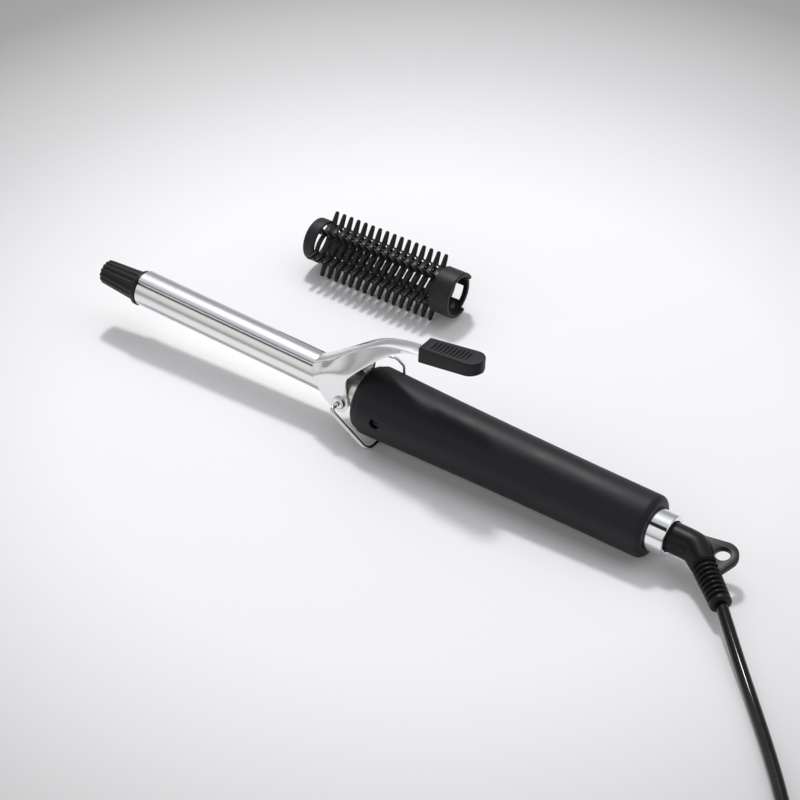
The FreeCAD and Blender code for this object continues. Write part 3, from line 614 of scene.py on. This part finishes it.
def make_lever():
    """One bent sheet: two sides with their ears, and a crowned top between the creases."""
    down, across = 22, 20
    rings = []
    for crease_x, low_x, low_z in smooth_line(LEVER_STATIONS, 4):
        crease_y, crease_z = between(crease_x, CREASE_Y), between(crease_x, CREASE)
        side = []
        for i in range(down + 1):
            share = i / down
            x = low_x + (crease_x - low_x) * share
            z = low_z + (crease_z - low_z) * share
            side.append(Vector((x, lever_side(x, z) if i < down else crease_y, z)))
        top = []
        for i in range(1, across):
            y = crease_y * (1 - 2 * i / across)
            crown = between(crease_x, CROWN) * (1 - abs(y / crease_y) ** 2.8)
            top.append(Vector((crease_x, y, crease_z + crown)))
        rings.append(side + top + [Vector((p.x, -p.y, p.z)) for p in reversed(side)])
    bm = bmesh.new()
    add_skin(bm, rings, closed=False)
    lever = finish_mesh("clamp_lever_plate", bm, BARREL, 180.0)
    solid = lever.modifiers.new("sheet", "SOLIDIFY")
    solid.thickness = SHEET * MM
    solid.offset = -1.0
    solid.use_even_offset = False
    apply_modifiers(lever)
    soften(lever, 0.22, 3, 34.0)
    return shade_by_angle(lever, 42.0)


place_piece(make_lever(), "lever_chrome", "clamp", "clamp_lever")


THUMB_FRONT, THUMB_ROUND = 39.0, 64.0  # the flat front, and where the round end begins
THUMB_END_R = 5.9
THUMB_TOP, THUMB_LOW = (43.6, 48.1), (35.2, 41.4)  # heights at the front and at the rear


def thumb_height(x, heights):
    front_z, rear_z = heights
    return front_z + (rear_z - front_z) * (x - THUMB_FRONT) / 31.0


def make_thumb_pad():
    """Wedge with a flat front and a round rear end."""
    straight = THUMB_FRONT + 0.4
    stations = [(THUMB_FRONT, 0.4), (THUMB_FRONT + 0.12, 0.15), (straight, 0.0)]
    stations += [(straight + (THUMB_ROUND - straight) * i / 8, 0.0) for i in range(1, 9)]
    stations += [(THUMB_ROUND + THUMB_END_R * math.sin(math.radians(7.4 * i)), 0.0) for i in range(1, 13)]
    rings = []
    for x, inset in stations:
        top = thumb_height(x, THUMB_TOP) - inset
        low = thumb_height(x, THUMB_LOW) + inset
        half = 4.9 + (x - THUMB_FRONT) / 25.0
        if x > THUMB_ROUND:
            half = THUMB_END_R * math.sqrt(max(1 - ((x - THUMB_ROUND) / THUMB_END_R) ** 2, 0.0))
        half -= inset
        eased = min(0.85, half * 0.6)
        rings.append(rounded_path([(x, -half, low), (x, half, low), (x, half, top), (x, -half, top)],
                                  [eased] * 4, 5, closed=True))
    return skin_piece("thumb_rest_pad", rings, BARREL, 38.0)


def make_thumb_ribs():
    """Ribs across the top, which bend down towards their ends."""
    count, first, pitch = 10, 44.2, 2.0
    bm = bmesh.new()
    for i in range(count):
        x = first + pitch * i
        half = 3.5 if 0 < i < count - 1 else 2.9
        path = []
        for k in range(9):
            y = -half + 2 * half * k / 8
            path.append((x, y, thumb_height(x, THUMB_TOP) + 0.12 - 0.55 * (abs(y) / half) ** 4))
        add_tube(bm, path, 0.5, 12)
    return finish_mesh("thumb_rest_ribs", bm, BARREL, 60.0)


for thumb_piece in (make_thumb_pad(), make_thumb_ribs()):
    place_piece(thumb_piece, "thumb_plastic", "clamp", "thumb_rest")


# ---- pivot: collar, rivets, stand and spring

def turned_about_y(profile, radii, centre, side, turns=48):
    """Rings about a line along Y through centre, from (outwards, radius) corners."""
    rings = []
    for ring in turned_rings(profile, radii, turns):
        rings.append([Vector((centre.x + p.z, side * p.x, centre.z + p.y)) for p in ring])
    return rings


def make_rivets():
    """Two hollow rivets with domed heads."""
    profile = [(8.1, 1.12), (8.1, 1.9), (9.72, 1.9), (9.72, 3.4), (11.4, 2.95), (11.4, 1.12), (8.1, 1.12)]
    bm = bmesh.new()
    for side in (-1, 1):
        add_skin(bm, turned_about_y(profile, [0, 0, 0, 0.35, 1.15, 0.25, 0], PIVOT, side))
    return finish_mesh("pivot_rivet_heads", bm, BARREL, 40.0)


place_piece(make_rivets(), "lever_chrome", "handle", "pivot_rivets")


def make_collar():
    """Band round the barrel, with a boss on each side for the rivet."""
    band = [(-7.0, 7.9), (-7.0, 8.6), (9.0, 8.6), (9.0, 7.9)]
    boss = [(6.6, 3.3), (8.7, 3.3), (8.7, 1.95), (6.6, 1.95)]
    bm = bmesh.new()
    add_skin(bm, turned_rings(band, [0, 0.25, 0.25, 0], 112))
    for side in (-1, 1):
        add_skin(bm, turned_about_y(boss, [0, 0.25, 0.1, 0], PIVOT, side))
    return finish_mesh("pivot_collar_band", bm, BARREL, 40.0)


place_piece(make_collar(), "steel", "handle", "pivot_collar")


def make_stand():
    """Wire bow whose ends turn in the rivets."""
    foot = Vector((20.2, 14.1, -18.83))
    end, corner = 8.6, 16.5  # where the wire ends and turns, from the middle
    wire = 1.05
    points = [(PIVOT.x, -end, PIVOT.z), (PIVOT.x, -corner, PIVOT.z), (foot.x, -foot.y, foot.z),
              (foot.x, foot.y, foot.z), (PIVOT.x, corner, PIVOT.z), (PIVOT.x, end, PIVOT.z)]
    bm = bmesh.new()
    add_tube(bm, rounded_path(points, [0, 2.2, 4.5, 4.5, 2.2, 0], 14), wire, 24)
    return finish_mesh("stand_wire_bow", bm, BARREL, 60.0)


place_piece(make_stand(), "wire_chrome", "stand", "stand_wire")


def make_spring():
    """Torsion spring: one arm goes over into the handle, the other presses up under the lever."""
    wire, mean_r, turns = 0.62, 1.9, 3.5
    centre = Vector((6.8, 0.0, 11.5))
    start_y, end_y = 5.15, 2.55
    rear_arm = [(22.8, 9.4, 10.5), (22.2, 10.0, 16.1), (19.1, 8.0, 20.6), (12.9, 6.0, 20.7), (9.4, 5.1, 17.6),
                (centre.x + mean_r, start_y, centre.z)]
    path = rounded_path(rear_arm, [0, 2.4, 3.0, 5.0, 4.0, 0], 10)
    steps = 96
    for i in range(1, steps + 1):
        x, z = around(mean_r, -2 * math.pi * turns * i / steps)
        path.append(centre + Vector((x, start_y + (end_y - start_y) * i / steps, z)))
    path += rounded_path([path[-1], (4.4, 2.6, 18.0), (1.2, 2.6, 20.9)], [0, 3.0, 0], 8)[1:]
    bm = bmesh.new()
    add_tube(bm, path, wire, 16)
    return finish_mesh("clamp_spring_wire", bm, BARREL, 80.0)


spring = make_spring()
wear(spring, "steel")
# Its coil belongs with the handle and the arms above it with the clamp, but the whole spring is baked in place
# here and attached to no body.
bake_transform(spring)
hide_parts("clamp_spring")


# ---- handle

GRIP_FRONT, GRIP_REAR = 12.7, 161.0
GRIP_FRONT_R, GRIP_REAR_R = 16.6, 14.57


def grip_radius(x):
    """The grip flares towards its front."""
    along = (x - GRIP_FRONT) / (GRIP_REAR - GRIP_FRONT)
    return GRIP_REAR_R + (GRIP_FRONT_R - GRIP_REAR_R) * (1 - along) ** 2


def screw_direction(side):
    """Outwards along a screw, slightly above level."""
    angle = math.radians(-5.0)
    return Vector((0, side * math.cos(angle), -math.sin(angle)))


def make_grip():
    """Hollow sleeve with a recessed hole for each screw."""
    front, bore = GRIP_FRONT + 0.1, 14.2
    ring_seat, ring_bore = 157.6, 9.85
    screw_x = 24.5
    corners = [(front, bore), (front, grip_radius(GRIP_FRONT))]
    radii = [0, 1.5]
    steps = 24
    for i in range(1, steps):
        x = GRIP_FRONT + (GRIP_REAR - GRIP_FRONT) * i / steps
        corners.append((x, grip_radius(x)))
        radii.append(0)
    corners += [(GRIP_REAR, GRIP_REAR_R), (GRIP_REAR, ring_bore), (ring_seat, ring_bore), (ring_seat, 12.2),
                (150.0, 12.3), (24.0, bore), (front, bore)]
    radii += [2.9, 0.6, 0, 0, 0, 0, 0]
    grip = lathe("handle_grip_shell", corners, radii, HANDLE, 128, 8, 34.0)
    hole = turned_rings([(12.0, 0), (12.0, 2.5), (16.0, 2.5), (18.0, 3.2), (18.0, 0)], [0, 0, 0.7, 0, 0], 40)
    cutter_bm = bmesh.new()
    for side in (-1, 1):
        turn = Vector((1, 0, 0)).rotation_difference(screw_direction(side))
        add_skin(cutter_bm, [[Vector((screw_x, 0, 0)) + turn @ p for p in ring] for ring in hole])
    cutter = finish_mesh("screw_hole_cutter", cutter_bm, HANDLE)
    cut_away(grip, cutter)
    return shade_by_angle(grip, 34.0)


place_piece(make_grip(), "soft_touch", "handle", "handle_grip")

nose = lathe("handle_nose_ring",
             [(12.9, 8.15), (9.5, 8.15), (9.5, 15.5), (12.9, 15.5)],
             [0, 0.3, 2.3, 0], HANDLE, 112, 8)
place_piece(nose, "heat_resistant_plastic", "handle", "handle_nose")

ring = lathe("rear_ring_band",
             [(157.5, 7.3), (157.5, 9.75), (170.1, 9.75), (170.1, 7.3), (157.5, 7.3)],
             [0, 0, 1.0, 0.5, 0], HANDLE, 128, 8)
place_piece(ring, "ring_chrome", "handle", "rear_ring")


# ---- swivel boot, hanging eye and strain relief

AHEAD = Vector((1, 0, 0))
ELBOW = Vector((ELBOW_X, 0, 0))
OUTER_SIDE = Vector((0, -BEND.y, -BEND.z)).normalized()
RELIEF_START, RELIEF_END = 10.5, BOOT_LEG


def make_boot():
    """Moulded elbow: a swept tube with a rounded outer corner and a crisp inner one."""
    normal = AHEAD.cross(BEND).normalized()
    bend_angle = AHEAD.angle(BEND)
    turn_reach = 2.6  # the direction turns within this of the elbow
    corner_cut, cut_reach = 0.35, 2.2
    stations = [(-23.4, 6.9), (-8.0, 6.9), (-6.0, 6.9), (-4.0, 6.9), (-2.4, 6.9), (-1.2, 6.88), (0.0, 6.84),
                (1.2, 6.76), (2.4, 6.65), (4.0, 6.47), (6.0, 6.25), (8.0, 6.0), (9.9, 5.75), (10.3, 5.62),
                (10.5, 5.35), (10.5, 4.2)]
    rings = []
    for s, radius in stations:
        share = limited((s + turn_reach) / (2 * turn_reach))
        direction = Quaternion(normal, bend_angle * share * share * (3 - 2 * share)) @ AHEAD
        place = ELBOW + (AHEAD if s <= 0 else BEND) * s
        place += (BEND - AHEAD).normalized() * corner_cut * math.exp(-(s / cut_reach) ** 2)
        side = direction.cross(normal).normalized()
        rings.append(ring_about(place, normal, side, radius, 64))
    return skin_piece("swivel_boot_elbow", rings, HANDLE, 40.0)


def eye_tangent(eye, reach, outside, along):
    """Angle on the eye's rim where a line from a point outside touches it; of two, the one further along."""
    offset = outside - eye
    base = math.atan2(offset.y, offset.x)
    swing = math.acos(reach / offset.length)
    return max((base + swing, base - swing), key=lambda angle: Vector(around(1.0, angle))[along])


def make_eye():
    """Flat hanging eye that grows out of the elbow's outer side. Its plane is along and outwards."""
    normal = AHEAD.cross(OUTER_SIDE).normalized()
    eye = Vector((193.6, 1.9))
    reach, hole = 6.9, 3.4
    half_thick, rim = 1.05, 0.42
    leg_share = 19.0
    on_boot = Vector((174.0, 5.4))
    on_leg = Vector((ELBOW_X + BEND.x * leg_share, -Vector((BEND.y, BEND.z)).length * leg_share))
    start_angle = eye_tangent(eye, reach, on_boot, 1)
    end_angle = eye_tangent(eye, reach, on_leg, 0)
    if end_angle > start_angle:
        end_angle -= 2 * math.pi
    outline = [on_boot]
    swing = end_angle - start_angle
    outline += [eye + Vector(around(reach, start_angle + swing * i / 32)) for i in range(33)]
    outline += [on_leg, Vector((ELBOW_X + 4.0, -3.4)), Vector((ELBOW_X, -1.0))]
    hole_line = [eye + Vector(around(hole, angle)) for angle in circle_angles(40)]
    curve = bpy.data.curves.new("eye_outline", "CURVE")
    curve.dimensions = "2D"
    curve.fill_mode = "BOTH"
    curve.extrude = half_thick
    curve.bevel_depth = rim
    curve.bevel_resolution = 3
    curve.offset = -rim
    for line in (outline, hole_line):
        spline = curve.splines.new("POLY")
        spline.points.add(len(line) - 1)
        for point, place in zip(spline.points, line):
            point.co = (place.x, place.y, 0.0, 1.0)
        spline.use_cyclic_u = True
    flat = bpy.data.objects.new("eye_outline", curve)
    bpy.context.scene.collection.objects.link(flat)
    graph = bpy.context.evaluated_depsgraph_get()
    mesh = bpy.data.meshes.new_from_object(flat.evaluated_get(graph))
    bpy.data.objects.remove(flat, do_unlink=True)
    bm = bmesh.new()
    bm.from_mesh(mesh)
    bm.transform(Matrix((AHEAD, OUTER_SIDE, normal)).transposed().to_4x4())
    return finish_mesh("hanging_eye_plate", bm, HANDLE, 40.0)


place_piece(make_boot(), "boot_rubber", "swivel", "swivel_boot")
place_piece(make_eye(), "boot_rubber", "swivel", "swivel_boot")


def make_relief():
    """Tapered sleeve with slots that stop at a rib along each side, and a rounded end."""
    normal = AHEAD.cross(BEND).normalized()
    side = BEND.cross(normal).normalized()
    start_r, end_r = 5.62, 4.95
    slots, first, pitch, width, depth = 8, 12.0, 2.45, 1.3, 1.35
    entry, end_round = 0.35, 1.2
    runs = 150
    stations = [(RELIEF_START - 0.3, 0.6), (RELIEF_START, 0.9), (RELIEF_START + entry, 1.0)]
    straight = RELIEF_END - 1.6 - RELIEF_START
    stations += [(RELIEF_START + entry + straight * i / runs, 1.0) for i in range(1, runs)]
    for i in range(7):
        away, along = around(1.0, math.radians(15 * i))
        stations.append((RELIEF_END - end_round + end_round * along, 1.0 - 0.24 * (1 - away)))
    rings = []
    for s, share in stations:
        base = start_r + (end_r - start_r) * (s - RELIEF_START) / (RELIEF_END - RELIEF_START)
        place = (s - first) / pitch
        slot = math.floor(place + 0.5)
        gap = 0.0
        if 0 <= slot < slots:
            gap = 1.0 / (1.0 + (abs(place - slot) * pitch / (width / 2)) ** 8)
        ring = []
        for angle in circle_angles(96):
            open_share = limited((abs(math.sin(angle)) - 0.22) / 0.16)
            radius = (base - depth * gap * open_share) * share
            ring.append(ELBOW + BEND * s + (side * math.cos(angle) + normal * math.sin(angle)) * radius)
        rings.append(ring)
    rings.append([ELBOW + BEND * RELIEF_END])
    return skin_piece("strain_relief_sleeve", rings, HANDLE, 50.0, True, False)


place_piece(make_relief(), "boot_rubber", "swivel", "strain_relief")


# ---- plug and cord tie

PLUG = Vector((386.5, -88.0, 5.6))


def make_plug():
    """Flat body that widens from the cord, with grip ribs on both edges."""
    stations = [(0.0, 3.6, 3.6), (0.25, 4.1, 3.95), (2.0, 4.4, 4.2), (5.0, 5.4, 4.6), (9.0, 7.6, 5.0),
                (14.0, 10.6, 5.35), (18.0, 12.3, 5.5), (22.0, 12.95, 5.55), (30.0, 13.0, 5.55),
                (34.6, 12.95, 5.5), (35.6, 12.6, 5.2), (36.0, 11.9, 4.6)]
    power = 0.62  # below 1 squares the section
    rings = []
    for along, half_w, half_h in smooth_line(stations, 3):
        ring = []
        for angle in circle_angles(64):
            c, s = math.cos(angle), math.sin(angle)
            ring.append(PLUG + Vector((half_w * math.copysign(abs(c) ** power, c), along,
                                       half_h * math.copysign(abs(s) ** power, s))))
        rings.append(ring)
    bm = bmesh.new()
    add_skin(bm, rings, True, True, True)
    ribs, first, pitch, from_middle = 4, 23.0, 2.6, 12.7
    for i in range(ribs):
        y = PLUG.y + first + pitch * i
        for x in (PLUG.x - from_middle, PLUG.x + from_middle):
            add_tube(bm, [(x, y, PLUG.z + z) for z in (-3.0, -1.5, 0.0, 1.5, 3.0)], 0.28, 10)
    return finish_mesh("plug_housing", bm, TABLE, 50.0)


def make_pins():
    """Two round pins with eased ends."""
    pin_r, tip_y, root_y, from_middle = 2.0, -53.0, -33.0, 9.3
    rings = turned_rings([(tip_y, 0), (tip_y, pin_r), (root_y, pin_r), (root_y, 0)], [0, 0, 0.9, 0], 40)
    bm = bmesh.new()
    for side in (-1, 1):
        x = PLUG.x + side * from_middle
        add_skin(bm, [[Vector((x + p.y, p.x, PLUG.z + p.z)) for p in ring] for ring in rings])
    return finish_mesh("plug_pin_pair", bm, TABLE, 40.0)


plug = place_piece(make_plug(), "plug_plastic", "swivel", "plug_body")
pins = place_piece(make_pins(), "brass_plated", "swivel", "plug_pins")


def strap_line(half, low, high, corner):
    """A rounded rectangle, half to each side."""
    return rounded_path([(-half, low, 0), (half, low, 0), (half, high, 0), (-half, high, 0)],
                        [corner] * 4, 6, closed=True)


def make_tie():
    """A flat strap round the coil's section."""
    play = 0.2
    low_y, high_y = COIL_CENTRE.y + 21.6 - play, COIL_CENTRE.y + 43.2 + play
    centre_y = (low_y + high_y) / 2
    half = (high_y - low_y) / 2
    outline = strap_line(half + 0.9, 0.1, 11.75, 1.6)
    inner = strap_line(half, 0.45, 10.9, 0.9)
    width = 3.6
    rings = []
    for x, line in ((-width, inner), (-width, outline), (width, outline), (width, inner), (-width, inner)):
        rings.append([Vector((COIL_CENTRE.x + x, centre_y + p.x, p.y)) for p in line])
    return soften(skin_piece("cord_tie_strap", rings, TABLE, 30.0, False), 0.12, 2)


tie = place_piece(make_tie(), "tie_plastic", "swivel", "cord_tie")


# ---- brush sleeve

BRUSH_Y = 95.4
BRISTLE_TIP_R = 16.7
BRISTLE_END_R = 0.7
BRUSH_Z = (BRISTLE_TIP_R - BRISTLE_END_R) * math.cos(math.pi / 6) + BRISTLE_END_R
BRUSH = TABLE @ Matrix.Translation((0, BRUSH_Y, BRUSH_Z))
COLLAR_X = (-15.3, -4.3)
ROWS, ROW_ANGLE, FIRST_ROW = 6, 60.0, 30.0  # degrees from straight up
LATTICE_R, HOOP_R = 9.65, 10.3
BRISTLES, PITCH, FIRST, SHIFT = 16, 4.37, -83.6, 1.6


def about_brush(x, radius, degrees):
    """A point at an angle from straight up, about the sleeve's axis."""
    turn = math.radians(degrees)
    return Vector((x, radius * math.sin(turn), radius * math.cos(turn)))


brush_ring = lathe("brush_ring_band", [(-91.5, 9.8), (-91.5, 11.0), (-85.0, 11.0), (-85.0, 9.8), (-91.5, 9.8)],
                   [0, 0.6, 0.35, 0.25, 0], BRUSH, 112)
place_piece(brush_ring, "brush_plastic", "brush_sleeve", "brush_end_ring")


def make_collar_band():
    """Collar whose outer rim is cut back between two steps."""
    outer, inner = 11.7, 9.8
    cut_from, cut_to, cut_depth, step = 61.0, 159.0, 2.2, 1.2  # degrees round the rim, and millimetres
    turns = 144
    front, rear = COLLAR_X
    corners = [(front, inner), (front, outer), (rear, outer), (rear, inner), (front, inner)]
    rings = []
    for p in rounded_path(flat_points(corners), [0, 0.5, 0.7, 0.3, 0], 5):
        ring = []
        for i in range(turns):
            degrees = 360.0 * i / turns
            back = cut_depth * limited(min(degrees - cut_from, cut_to - degrees) / step)
            x = p.x - back if p.x > rear - 3.0 else p.x
            ring.append(about_brush(x, p.y, degrees))
        rings.append(ring)
    return skin_piece("brush_collar_band", rings, BRUSH, 40.0, False)


collar_band = make_collar_band()
window_bm = bmesh.new()
add_box(window_bm, (-14.4, -3.8, 8.4), (-9.0, 3.8, 13.0), Matrix.Rotation(-math.radians(120), 4, "X"))
cut_away(collar_band, finish_mesh("collar_window_cutter", window_bm, BRUSH))
place_piece(collar_band, "brush_plastic", "brush_sleeve", "brush_collar")


def row_shift(degrees):
    """How far along the lattice stands at an angle: it zigzags from row to row."""
    place = (degrees - FIRST_ROW) / ROW_ANGLE
    return SHIFT * (1.0 - abs((place % 2.0) - 1.0))


def lattice_section(low_half, high_half, high, low_corner, high_corner):
    """Closed outline of a bar or hoop as (sideways, distance from the axis) corners."""
    corners = [(-low_half, LATTICE_R, 0), (low_half, LATTICE_R, 0),
               (high_half, high, 0), (-high_half, high, 0)]
    return rounded_path(corners, [low_corner, low_corner, high_corner, high_corner], 3, closed=True)


def bristle_profile():
    """(height, half-width) pairs up to the round end."""
    tip_half, tip_round = 1.06, 0.8
    profile = [(HOOP_R - 0.35, 1.7), (HOOP_R + 0.4, 1.52), (HOOP_R + 1.4, 1.42), (HOOP_R + 3.4, 1.3),
               (BRISTLE_TIP_R - tip_round, tip_half)]
    for k in range(1, 5):
        bend = math.radians(20 * k)
        profile.append((BRISTLE_TIP_R - tip_round + tip_round * math.sin(bend), tip_half * math.cos(bend)))
    return profile


def make_bars():
    """Bars with tapered, round-ended bristles that are narrower across the bar."""
    narrow = 0.72
    section = lattice_section(0.85, 0.7, HOOP_R, 0.15, 0.3)
    bm = bmesh.new()
    for row in range(ROWS):
        turn = Matrix.Rotation(-math.radians(FIRST_ROW + ROW_ANGLE * row), 4, "X")
        rings = [[turn @ Vector((x, p.x, p.y)) for p in section] for x in (-85.3, -15.0)]
        add_skin(bm, rings, True, True, True)
        for i in range(BRISTLES):
            x = FIRST + PITCH * i + SHIFT * (row % 2)
            rings = []
            for height, half in bristle_profile():
                rings.append([turn @ Vector((x + along, narrow * across, height))
                              for along, across in (around(half, angle) for angle in circle_angles(16))])
            rings.append([turn @ Vector((x, 0, BRISTLE_TIP_R))])
            add_skin(bm, rings, True, True, False)
    return finish_mesh("brush_bars", bm, BRUSH, 60.0)


def make_hoops():
    """Zigzag hoops from bristle to bristle round the sleeve."""
    turns = 96
    section = lattice_section(1.3, 1.15, HOOP_R - 0.02, 0.12, 0.25)
    bm = bmesh.new()
    for i in range(BRISTLES):
        rings = []
        for k in range(turns + 1):
            degrees = FIRST_ROW + 360.0 * k / turns
            x = FIRST + PITCH * i + row_shift(degrees)
            rings.append([about_brush(x + p.x, p.y, degrees) for p in section])
        add_skin(bm, rings)
    return finish_mesh("brush_hoop_rings", bm, BRUSH, 50.0)


place_piece(make_bars(), "brush_bristle", "brush_sleeve", "brush_bristle_bars")
place_piece(make_hoops(), "brush_bristle", "brush_sleeve", "brush_hoops")


# ---- CAD nodes that stay, each with its slot's material, except the handle screws, whose dark metal is painted shade for the inside of their holes

for subpart in frame["record"]["subparts"]:
    node = frame["nodes"].get(subpart["node"])
    if node is None:
        continue
    # painted shade: the handle screws get the darkened metal that stands in for the shade in their holes
    in_screw_hole = subpart["node"] == "handle_screws"
    slot_material = MATERIALS["screw_hole_shade" if in_screw_hole else subpart["material_slot"]]
    if not node.material_slots:
        node.data.materials.append(slot_material)
    for material_slot in node.material_slots:
        material_slot.material = slot_material


# ---- studio: floor, light and world

def make_floor():
    """Pale table that rises into a backdrop far behind the object."""
    profile = [(-2.5, 0.0), (-1.0, 0.0), (0.0, 0.0), (1.0, 0.0), (2.0, 0.0), (2.6, 0.06), (3.1, 0.25),
               (3.5, 0.6), (3.7, 1.1), (3.75, 2.4)]
    away = Vector((-math.sin(math.radians(CAMERA_TURN)), math.cos(math.radians(CAMERA_TURN)), 0))
    across = Vector((away.y, -away.x, 0))
    rows = [[away * along + across * (0.5 * s) + Vector((0, 0, z)) for s in range(-8, 9)]
            for along, z in profile]
    bm = bmesh.new()
    add_skin(bm, rows, closed=False)
    return finish_mesh("studio_floor", bm, Matrix.Identity(4), 180.0)


def fill_ramp(ramp, stops):
    """Set a colour ramp from (position, colour) stops."""
    elements = ramp.color_ramp.elements
    elements.remove(elements[1])
    for index, (position, color) in enumerate(stops):
        element = elements[0] if index == 0 else elements.new(position)
        element.position = position
        element.color = (*color, 1.0)


# Painted light falloff on the paper: how bright it is painted, by distance from the middle of the view as a
# share of the mapping's scale.
PAINTED_LIGHT_FALLOFF = [(0.0, 0.93), (0.185, 0.9), (0.225, 0.84), (0.255, 0.78), (0.285, 0.71), (0.315, 0.63),
              (0.365, 0.52), (0.44, 0.33), (0.5, 0.29), (0.62, 0.32), (0.8, 0.75), (1.0, 0.8)]


def make_paper():
    """White paper with a painted light falloff: painted darker away from the middle of the view."""
    mat, tree, principled = shader("studio_paper", (0.9, 0.9, 0.9), 0.75, specular=0.15)
    paper = tint(tree, noise_node(tree, 1.6, 2.0), (0.985, 0.985, 0.99), (1.0, 1.0, 1.0))
    coords = new_node(tree, "TexCoord")
    mapping = new_node(tree, "Mapping", {"Rotation": (0.0, 0.0, math.radians(CAMERA_TURN)),
                                         "Location": (-0.012, -0.009, 0.0),
                                         "Scale": (0.9, 0.99, 1000.0)}, vector_type="TEXTURE")
    # painted light falloff: the ramp paints the paper darker with distance from the middle of the view
    distance = new_node(tree, "VectorMath", operation="LENGTH")
    painted_falloff = new_node(tree, "ValToRGB")
    fill_ramp(painted_falloff, [(reach, (light, light, light * 1.005)) for reach, light in PAINTED_LIGHT_FALLOFF])
    shade = new_node(tree, "Mix", {0: 1.0}, data_type="RGBA", blend_type="MULTIPLY")
    join(tree, coords, "Object", mapping, "Vector")
    join(tree, mapping, "Vector", distance, 0)
    join(tree, distance, "Value", painted_falloff, "Fac")
    join(tree, painted_falloff, "Color", shade, 6)
    tree.links.new(paper, shade.inputs[7])
    join(tree, shade, 2, principled, "Base Color")
    return mat


floor = make_floor()
floor.data.materials.append(make_paper())


def area_light(name, place, size, power):
    """A square light that faces the middle of the object."""
    data = bpy.data.lights.new(name, "AREA")
    data.energy = power
    data.shape = "SQUARE"
    data.size = size
    light = bpy.data.objects.new(name, data)
    light.location = place
    light.rotation_euler = (-Vector(place)).to_track_quat("-Z", "Y").to_euler()
    bpy.context.scene.collection.objects.link(light)


area_light("key_light", (-0.64, 0.66, 1.66), 0.22, 16.5)

# Brightness of the surroundings, by degrees from straight up towards the front.
WORLD_STOPS = [(-90, (0.25, 0.25, 0.25)), (-72, (0.30, 0.30, 0.30)), (-56, (0.38, 0.38, 0.39)),
               (-40, (0.60, 0.60, 0.61)), (-30, (0.76, 0.76, 0.77)), (-20, (0.97, 0.97, 0.97)),
               (-10, (0.87, 0.88, 0.89)), (-3, (0.65, 0.66, 0.70)), (5, (0.50, 0.50, 0.54)),
               (17, (0.42, 0.42, 0.46)), (20, (0.02, 0.02, 0.03)), (36, (0.02, 0.02, 0.03)),
               (39, (0.72, 0.715, 0.70)), (52, (0.70, 0.695, 0.68)), (65, (0.65, 0.645, 0.63)),
               (78, (0.52, 0.51, 0.50)), (86, (0.30, 0.30, 0.30)), (89, (0.18, 0.18, 0.18))]


def make_world():
    """Soft studio surroundings that change only with that angle."""
    world = bpy.data.worlds.new("studio_world")
    world.use_nodes = True
    tree = world.node_tree
    coords = new_node(tree, "TexCoord")
    front = new_node(tree, "VectorMath", {1: (0.0, -1.0, 0.0)}, operation="DOT_PRODUCT")
    split = new_node(tree, "SeparateXYZ")
    angle = new_node(tree, "Math", operation="ARCTAN2")
    share = new_node(tree, "MapRange", {"From Min": -math.pi / 2, "From Max": math.pi / 2})
    ramp = new_node(tree, "ValToRGB")
    fill_ramp(ramp, [((degrees + 90) / 180.0, color) for degrees, color in WORLD_STOPS])
    join(tree, coords, "Generated", front, 0)
    join(tree, coords, "Generated", split, "Vector")
    join(tree, front, "Value", angle, 0)
    join(tree, split, "Z", angle, 1)
    join(tree, angle, "Value", share, "Value")
    join(tree, share, "Result", ramp, "Fac")
    background = tree.nodes["Background"]
    join(tree, ramp, "Color", background, "Color")
    background.inputs["Strength"].default_value = 1.2
    return world


bpy.context.scene.world = make_world()
bpy.context.scene.view_settings.view_transform = "Standard"
